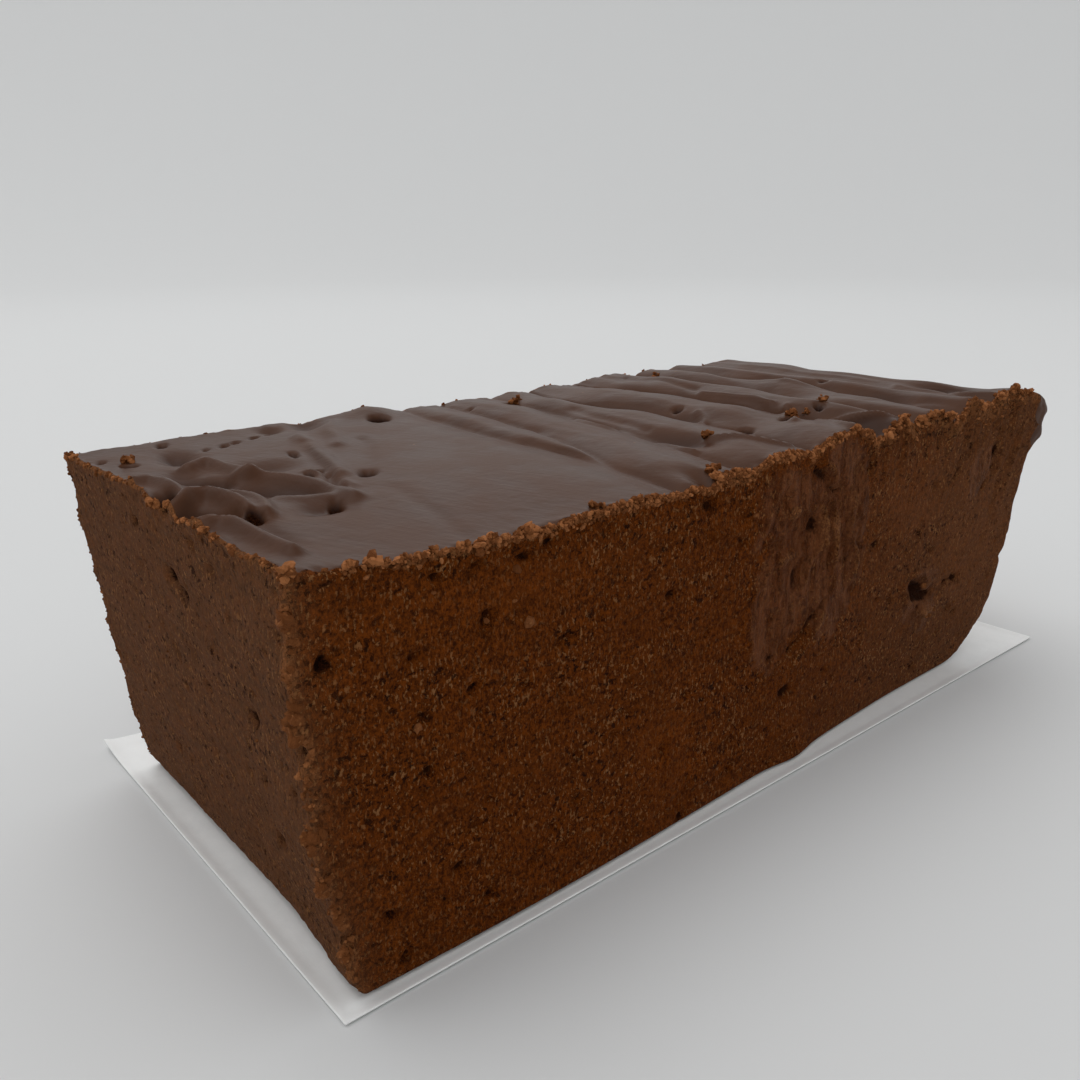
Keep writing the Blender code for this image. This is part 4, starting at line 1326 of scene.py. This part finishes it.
class FudgeSliceSettings(bpy.types.PropertyGroup):
    """Sizes of the slice."""

    height: length_setting("Height", "Height of the slab at the cut", 0.036)
    base_length: length_setting("Length at the base", "Length of the slice at its base", 0.1016)
    base_width: length_setting("Width at the base", "Width of the slice at its base", 0.0458)
    lean_pan_end: length_setting("Lean of the pan end", "How far the pan end leans out at the top", 0.0047)
    lean_cut_end: length_setting("Lean of the cut end", "How far the cut end leans out at the top", 0.003)
    lean_front: length_setting("Lean of the front", "How far the front cut leans out at the top", 0.0018)
    lean_back: length_setting("Lean of the back", "How far the back cut leans out at the top", 0.00185)


class FudgeLookSettings(bpy.types.PropertyGroup):
    """Colours and gloss of the finishes."""

    cut_colour: colour_setting("Cut", "Colour of the cut faces", (0.280, 0.065, 0.0062))
    # Darker grain of the cut: partly its own colour, partly painted shade in the low grains.
    cut_dark_grain_and_shade: colour_setting("Cut, dark grain", "Darker grain of the cut faces", (0.085, 0.0195, 0.0022))
    cut_warm: colour_setting("Cut, warm", "Warmer patches of the cut faces", (0.175, 0.042, 0.0048))
    # Paler tone towards the pan end, also laid on the near end face as a painted sheen.
    cut_pale_and_end_sheen: colour_setting("Cut, pan end", "Paler tone of the cut towards the pan end", (0.222, 0.106, 0.052))
    crumb_colour: colour_setting("Crumb", "Tan of the crumbs and the crumbly rims", (0.345, 0.132, 0.047))
    crumb_dark: colour_setting("Crumb, dark", "Brown of the darker crumbs", (0.130, 0.042, 0.012))
    # Pale specks and dust, and also painted highlights on the front's fold crests and grain tips.
    speck_and_highlight_colour: colour_setting("Speck", "Pale specks in the cut", (0.430, 0.185, 0.066))
    # Painted shade: near black laid into pores, pits and hollows, where their own shade falls.
    pit_shade_colour: colour_setting("Pore", "Inside of pores and pits", (0.022, 0.0065, 0.0025))
    smear_colour: colour_setting("Smear", "Smooth smeared patch", (0.168, 0.065, 0.030))
    # Darker streaks of the smear: partly streak tone, partly painted shade in the grooves.
    smear_dark_and_groove_shade: colour_setting("Smear, dark", "Darker folds of the smeared patch", (0.048, 0.016, 0.007))
    skin_colour: colour_setting("Skin", "Skin of the top", (0.068, 0.0265, 0.0120))
    skin_dark: colour_setting("Skin, dark", "Darker film on the top", (0.056, 0.021, 0.009))
    paper_colour: colour_setting("Paper", "Waxed paper", (0.92, 0.92, 0.905))
    paper_shade: colour_setting("Paper, shade", "Fibres of the waxed paper", (0.88, 0.88, 0.865))
    cut_gloss: share_setting("Gloss of the cut", "Mirror part of the cut faces", 0.035)
    skin_gloss: share_setting("Gloss of the skin", "Mirror part of the top", 0.09)


class FudgeCrumbSettings(bpy.types.PropertyGroup):
    """Numbers and sizes of the crumbs."""

    rim_count: bpy.props.IntProperty(name="Rim crumbs", description="Crumbs along the cut rims", default=3600, min=0)
    edge_count: bpy.props.IntProperty(name="Edge crumbs", description="Crumbs on the upright edges of the near end", default=320, min=0)
    face_count: bpy.props.IntProperty(name="Face crumbs", description="Crumbs on the cut faces", default=260, min=0)
    smallest: length_setting("Smallest", "Radius of the smallest crumb", 0.00010)
    largest: length_setting("Largest", "Radius of the largest rim crumb", 0.00031)


class FudgePaperSettings(bpy.types.PropertyGroup):
    """Sizes of the waxed paper."""

    thickness: length_setting("Thickness", "Thickness of the paper", 0.00011)


class FudgeStageSettings(bpy.types.PropertyGroup):
    """Floor and lights."""

    floor_colour: colour_setting("Floor", "Colour of the floor and the backdrop", (0.68, 0.68, 0.675))
    floor_radius: length_setting("Floor radius", "Radius of the level part of the floor", 0.9)
    bowl_radius: length_setting("Curve radius", "Radius of the curve up into the backdrop", 0.9)
    wall_height: length_setting("Wall height", "Height of the backdrop above its curve", 0.05)
    key_power: bpy.props.FloatProperty(name="Key light", description="Power of the light above and behind", default=8.2, min=0.0, unit="POWER")
    window_power: bpy.props.FloatProperty(name="Window light", description="Power of the low light behind", default=0.25, min=0.0, unit="POWER")
    sky: bpy.props.FloatProperty(name="Sky", description="Strength of the even light from above", default=0.75, min=0.0)


# ---------------------------------------------------------------------------------------------------
# Pieces


def build_slice(slice_settings, look, paper):
    """Build the slice as one closed surface in place of its solid."""
    size, leans = slice_sizes(slice_settings)
    unit, loops = box_shell(CELLS, SIDE_STEPS)
    points, masks = mould(unit, size, leans)
    points = settle(points, size, paper.thickness * MILLIMETRES)
    piece = mesh_piece("fudge_slice", keep_inside(place_in_frame(points)), loops, masks, fudge_material(look))
    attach(piece, "root")
    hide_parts("fudge_block")


def rim_places(random, count, size):
    """Return unit places along the cut rims, with a random step on to the top or down the wall.

    The front's crumbs thin out where its band is low, and reach as far down as the band does.
    """
    length, width, height = size
    rim = random.choice(3, count, p=(0.85, 0.11, 0.04))
    along = random.uniform(-1.0, 1.0, count)
    x = along * (length / 2.0 + 3.0)
    band = np.where(rim == 0, np.interp(x, BAND_X, BAND_HEIGHT), 0.5)
    thick = np.where(rim == 0, np.interp(x, (-54.0, -46.5, -45.5, -33.0, -31.0, 15.0, 18.0), (0.04, 0.06, 0.25, 0.35, 0.75, 0.75, 0.5)), 0.26)
    keep = random.random(count) < thick
    down = band * random.random(count) ** 1.6
    inward = 0.32 * random.random(count)
    on_top = random.random(count) < 0.42
    inset = 1.0 - 2.0 * np.where(on_top, inward, 0.0) / np.array((width, length, width))[rim]
    u = np.where(rim == 1, -inset, along)
    v = np.select([rim == 0, rim == 1], [-inset, along], inset)
    w = 1.0 - 2.0 * np.where(on_top, 0.0, down) / height
    return np.stack((u, v, w), axis=1)[keep & (u < 0.91)]


def crumb_radii(random, count, crumbs, power):
    """Return random radii, most of them small."""
    smallest = crumbs.smallest * MILLIMETRES
    largest = crumbs.largest * MILLIMETRES
    return smallest + (largest - smallest) * random.random(count) ** power


def add_crumbs(name, random, centres, radii, cells, palest, context):
    """Put one kind of crumb into a piece that goes with the slice."""
    size, _ = slice_sizes(context.scene.fudge_slice)
    seated = settle(centres, size, context.scene.fudge_paper.thickness * MILLIMETRES)
    points, loops, masks = crumb_cloud(random, seated, radii, cells, 0.52, palest)
    material = bpy.data.materials.get("fudge_crumb") or crumb_material(context.scene.fudge_look)
    piece = mesh_piece(name, keep_inside(place_in_frame(points)), loops, masks, material, smooth=False)
    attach(piece, "root")


def clusters(random, centres, radii, count):
    """Return clusters of crumbs: around each centre, crumbs of about half its radius."""
    around = random.normal(size=(len(centres), count, 3))
    around /= np.linalg.norm(around, axis=2)[:, :, None]
    spread = radii[:, None, None] * random.uniform(0.15, 0.75, (len(centres), count, 1))
    places = centres[:, None, :] + around * spread * np.array((1.2, 1.0, 0.8))
    sizes = radii[:, None] * random.uniform(0.22, 0.52, (len(centres), count))
    return places.reshape(-1, 3), sizes.ravel()


def build_crumbs(context):
    """Build the rim, lump, edge, face and loose crumbs."""
    crumbs = context.scene.fudge_crumbs
    size, leans = slice_sizes(context.scene.fudge_slice)
    random = np.random.default_rng(23)

    unit = rim_places(random, crumbs.rim_count, size)
    centres, _ = mould(unit, size, leans)
    radii = crumb_radii(random, len(centres), crumbs, 2.2)
    add_crumbs("rim_crumbs", random, centres, radii, 2, 1.0, context)

    half = np.array((size[0] / 2.0 + leans["cut"], size[1] / 2.0 + leans["front"]))
    table = np.array(RIM_LUMPS)
    unit = np.ones((len(table), 3))
    unit[:, :2] = np.clip(table[:, :2] / half, -1.0, 1.0)
    centres, _ = mould(unit, size, leans)
    centres[:, 2] += table[:, 3]
    places, radii = clusters(random, centres, table[:, 2], 14)
    add_crumbs("rim_lumps", random, places, radii, 2, 1.1, context)

    count = crumbs.edge_count
    step = random.normal(-0.1, 0.45, count)
    low_side = np.maximum(-step, 0.0) * 2.0 / size[0] - 1.0
    near_side = np.maximum(step, 0.0) * 2.0 / size[1] - 1.0
    far = random.random(count) < 0.7
    unit = np.stack((low_side, np.where(far, -near_side, near_side), random.uniform(-0.97, 0.97, count)), axis=1)
    centres, _ = mould(unit, size, leans)
    radii = crumb_radii(random, count, crumbs, 2.2) * np.where(far, 0.62, 1.0)
    add_crumbs("edge_crumbs", random, centres, radii, 2, 0.8, context)

    table = np.array(EDGE_LUMPS)
    count = len(table) * EDGE_LUMP_GRAINS
    place, radius, _ = np.repeat(table, EDGE_LUMP_GRAINS, axis=0).T
    height = np.clip(place + random.normal(0.0, 0.55, count) * radius, 0.4, size[2] - 0.2)
    in_x, in_y = np.abs(random.normal(0.0, 0.35, (2, count)))
    unit = np.stack((in_x * 2.0 / size[0] - 1.0, in_y * 2.0 / size[1] - 1.0, height * 2.0 / size[2] - 1.0), axis=1)
    centres, _ = mould(unit, size, leans)
    radii = radius * random.uniform(0.22, 0.46, count)
    add_crumbs("edge_lumps", random, centres, radii, 3, 0.5, context)

    count = crumbs.face_count
    side = random.choice(3, count, p=(0.56, 0.14, 0.30))
    across = random.uniform(-0.98, 0.98, count)
    up = random.uniform(-0.96, 0.99, count)
    ones = np.ones(count)
    unit = np.stack((np.where(side == 1, -ones, across), np.select([side == 0, side == 1], [-ones, across], ones), up), axis=1)
    named = np.array(FRONT_CRUMBS)
    lean = leans["front"] / size[2] * named[:, 1]
    placed = np.stack((named[:, 0] / (size[0] / 2.0 + lean), -np.ones(len(named)), named[:, 1] * 2.0 / size[2] - 1.0), axis=1)
    centres, masks = mould(np.concatenate((placed, unit)), size, leans)
    radii = np.concatenate((named[:, 2] * 0.75, crumb_radii(random, count, crumbs, 3.0) * 0.75))
    keep = (masks["smear"] < 0.3) | (np.arange(len(radii)) < len(named))
    add_crumbs("face_crumbs", random, centres[keep], radii[keep], 2, 0.55, context)

    table = np.array(LOOSE_CRUMBS)
    unit = np.stack((table[:, 0] / half[0], table[:, 1] / half[1], np.ones(len(table))), axis=1)
    centres, _ = mould(unit, size, leans)
    centres[:, 2] += table[:, 2] * 0.35
    places, radii = clusters(random, centres, table[:, 2], 10)
    add_crumbs("loose_crumbs", random, places, radii, 3, 0.8, context)


def paper_lift(x, y):
    """Return how far the paper stands off the surface: a little along its edges, more at one corner."""
    inset = np.minimum(np.minimum(x - PAPER_LEFT, PAPER_RIGHT - x), y - PAPER_FRONT)
    edge = PAPER_EDGE_LIFT * smooth_step(0.0, 1.0, 1.0 - inset / PAPER_EDGE_BAND) ** 2
    corner = np.hypot(x - PAPER_LEFT, y - PAPER_BACK)
    curl = PAPER_CURL_HEIGHT * np.clip(1.0 - corner / PAPER_CURL_REACH, 0.0, 1.0) ** 2
    clear = smooth_step(23.9, PAPER_BACK, y)
    ripple = 0.05 * noise(np.stack((x, y, x * 0.0), axis=1), 7.0, 95) * smooth_step(0.0, 2.0, inset)
    return edge + curl * clear + np.abs(ripple) * smooth_step(22.9, 24.5, np.abs(y + 0.5))


def build_paper(paper, look):
    """Build the waxed paper as a thin sheet: a grid lifted along its edges, with its own thickness."""
    across, along = np.meshgrid(np.linspace(-1.0, 1.0, PAPER_CELLS[1] + 1), np.linspace(-1.0, 1.0, PAPER_CELLS[0] + 1))
    spread_x = np.sign(along) * (1.0 - (1.0 - np.abs(along)) ** 1.3)
    spread_y = np.sign(across) * (1.0 - (1.0 - np.abs(across)) ** 1.3)
    x = ((PAPER_LEFT + PAPER_RIGHT) / 2.0 + spread_x * (PAPER_RIGHT - PAPER_LEFT) / 2.0).ravel()
    y = ((PAPER_FRONT + PAPER_BACK) / 2.0 + spread_y * (PAPER_BACK - PAPER_FRONT) / 2.0).ravel()
    points = np.stack((x, y, paper_lift(x, y)), axis=1)
    index = np.arange(len(points)).reshape(PAPER_CELLS[0] + 1, PAPER_CELLS[1] + 1)
    piece = mesh_piece("waxed_paper", keep_inside(place_in_frame(points)), side_faces(index, 1), {}, paper_material(look))
    wall = piece.modifiers.new("Thickness", "SOLIDIFY")
    wall.thickness = paper.thickness
    wall.offset = 1.0
    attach(piece, "root")
    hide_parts("wax_paper")


def build_backdrop(stage):
    """Build a seamless floor that curves up into a wall all round: a profile turned about the z axis."""
    turns = np.linspace(0.0, math.tau, 97)[:-1]
    bend = np.linspace(0.0, math.pi / 2.0, 25)
    radius = np.concatenate((np.linspace(0.02, stage.floor_radius, 12), stage.floor_radius + stage.bowl_radius * np.sin(bend[1:])))
    height = np.concatenate((np.zeros(12), stage.bowl_radius * (1.0 - np.cos(bend[1:]))))
    radius = np.append(radius, radius[-1])
    height = np.append(height, height[-1] + stage.wall_height)
    x = radius[:, None] * np.cos(turns)
    y = radius[:, None] * np.sin(turns)
    z = np.broadcast_to(height[:, None], x.shape)
    points = np.concatenate((np.stack((x, y, z), axis=-1).reshape(-1, 3), np.zeros((1, 3))))
    index = np.arange(x.size).reshape(x.shape)
    wrapped = np.concatenate((index, index[:, :1]), axis=1)
    middle = np.full(len(turns), x.size)
    fan = np.stack((middle, wrapped[0, :-1], wrapped[0, 1:]), axis=1)
    floor = mesh_piece("backdrop", points, side_faces(wrapped, 1) + [fan], {}, plain_material("backdrop", stage.floor_colour, 0.9))


def area_light(name, place, target, size, power, spread=180.0):
    """Add one soft square light that faces a target, with its spread in degrees."""
    data = bpy.data.lights.new(name, "AREA")
    data.shape = "RECTANGLE"
    data.size, data.size_y = size
    data.energy = power
    data.spread = math.radians(spread)
    light = bpy.data.objects.new(name, data)
    bpy.context.scene.collection.objects.link(light)
    light.location = place
    light.rotation_euler = (Vector(target) - Vector(place)).to_track_quat("-Z", "Y").to_euler()


def add_camera():
    """Add the camera and turn it by its yaw, pitch and roll."""
    yaw, pitch, roll = (math.radians(value) for value in (CAMERA_YAW, CAMERA_PITCH, CAMERA_ROLL))
    forward = Vector((math.sin(yaw) * math.cos(pitch), math.cos(yaw) * math.cos(pitch), -math.sin(pitch)))
    level = Vector((math.cos(yaw), -math.sin(yaw), 0.0))
    down = forward.cross(level)
    right = math.cos(roll) * level + math.sin(roll) * down
    below = -math.sin(roll) * level + math.cos(roll) * down
    turn = Matrix((right, -below, -forward)).transposed()
    data = bpy.data.cameras.new("camera")
    data.lens = CAMERA_LENS
    data.sensor_width = CAMERA_SENSOR
    data.clip_start = 0.005
    data.clip_end = 20.0
    camera = bpy.data.objects.new("camera", data)
    bpy.context.scene.collection.objects.link(camera)
    place = (np.array(CAMERA_PLACE) + frame_shift() + np.array((0.0, 0.0, SOLID_REST))) * METRES
    camera.matrix_world = Matrix.Translation(Vector(place)) @ turn.to_4x4()
    bpy.context.scene.camera = camera


def build_stage(stage):
    """Build the backdrop, the lights, the even sky and the camera."""
    build_backdrop(stage)
    area_light("key", (-0.25, 0.48, 1.60), (0.0, 0.0, 0.02), (1.3, 1.1), stage.key_power)
    area_light("window", (0.90, 1.08, 0.62), (0.0, 0.0, 0.02), (1.4, 0.45), stage.window_power, 70.0)
    world = bpy.data.worlds.new("sky")
    world.use_nodes = True
    background = world.node_tree.nodes["Background"]
    background.inputs["Color"].default_value = (0.97, 0.985, 1.0, 1.0)
    background.inputs["Strength"].default_value = stage.sky
    bpy.context.scene.world = world
    bpy.context.scene.view_settings.view_transform = "Standard"
    bpy.context.scene.view_settings.look = "None"
    add_camera()


# ---------------------------------------------------------------------------------------------------
# Operators and panel


class MESH_OT_fudge_slice_add(bpy.types.Operator):
    """Add the slice of chocolate fudge"""

    bl_idname = "mesh.fudge_slice_add"
    bl_label = "Add Fudge Slice"

    def execute(self, context):
        scene = context.scene
        build_slice(scene.fudge_slice, scene.fudge_look, scene.fudge_paper)
        return {"FINISHED"}


class MESH_OT_fudge_crumbs_add(bpy.types.Operator):
    """Add the crumbs on the rims, the upright edge, the faces and the top"""

    bl_idname = "mesh.fudge_crumbs_add"
    bl_label = "Add Crumbs"

    def execute(self, context):
        build_crumbs(context)
        return {"FINISHED"}


class MESH_OT_fudge_paper_add(bpy.types.Operator):
    """Add the slip of waxed paper"""

    bl_idname = "mesh.fudge_paper_add"
    bl_label = "Add Waxed Paper"

    def execute(self, context):
        build_paper(context.scene.fudge_paper, context.scene.fudge_look)
        return {"FINISHED"}


class SCENE_OT_fudge_stage_add(bpy.types.Operator):
    """Add the backdrop, the lights and the camera"""

    bl_idname = "scene.fudge_stage_add"
    bl_label = "Add Stage"

    def execute(self, context):
        build_stage(context.scene.fudge_stage)
        return {"FINISHED"}


OPERATORS = (MESH_OT_fudge_slice_add, MESH_OT_fudge_crumbs_add, MESH_OT_fudge_paper_add, SCENE_OT_fudge_stage_add)


class VIEW3D_PT_fudge(bpy.types.Panel):
    """Panel that lists the fudge's pieces and settings"""

    bl_idname = "VIEW3D_PT_fudge"
    bl_label = "Chocolate Fudge"
    bl_space_type = "VIEW_3D"
    bl_region_type = "UI"
    bl_category = "Fudge"

    def draw(self, context):
        layout = self.layout
        for operator in OPERATORS:
            layout.operator(operator.bl_idname)
        for name in SETTINGS:
            group = getattr(context.scene, name)
            box = layout.box()
            for setting in group.__annotations__:
                box.prop(group, setting)


SETTINGS = {
    "fudge_slice": FudgeSliceSettings,
    "fudge_look": FudgeLookSettings,
    "fudge_crumbs": FudgeCrumbSettings,
    "fudge_paper": FudgePaperSettings,
    "fudge_stage": FudgeStageSettings,
}


def register():
    """Register the settings, the operators and the panel."""
    for name, group in SETTINGS.items():
        bpy.utils.register_class(group)
        setattr(bpy.types.Scene, name, bpy.props.PointerProperty(type=group))
    for kind in (*OPERATORS, VIEW3D_PT_fudge):
        bpy.utils.register_class(kind)


def unregister():
    """Remove the panel, the operators and the settings."""
    for kind in (VIEW3D_PT_fudge, *reversed(OPERATORS)):
        bpy.utils.unregister_class(kind)
    for name, group in reversed(SETTINGS.items()):
        delattr(bpy.types.Scene, name)
        bpy.utils.unregister_class(group)


def main():
    """Build every piece in order."""
    register()
    bpy.ops.mesh.fudge_slice_add()
    bpy.ops.mesh.fudge_crumbs_add()
    bpy.ops.mesh.fudge_paper_add()
    bpy.ops.scene.fudge_stage_add()


if __name__ == "__main__":
    main()
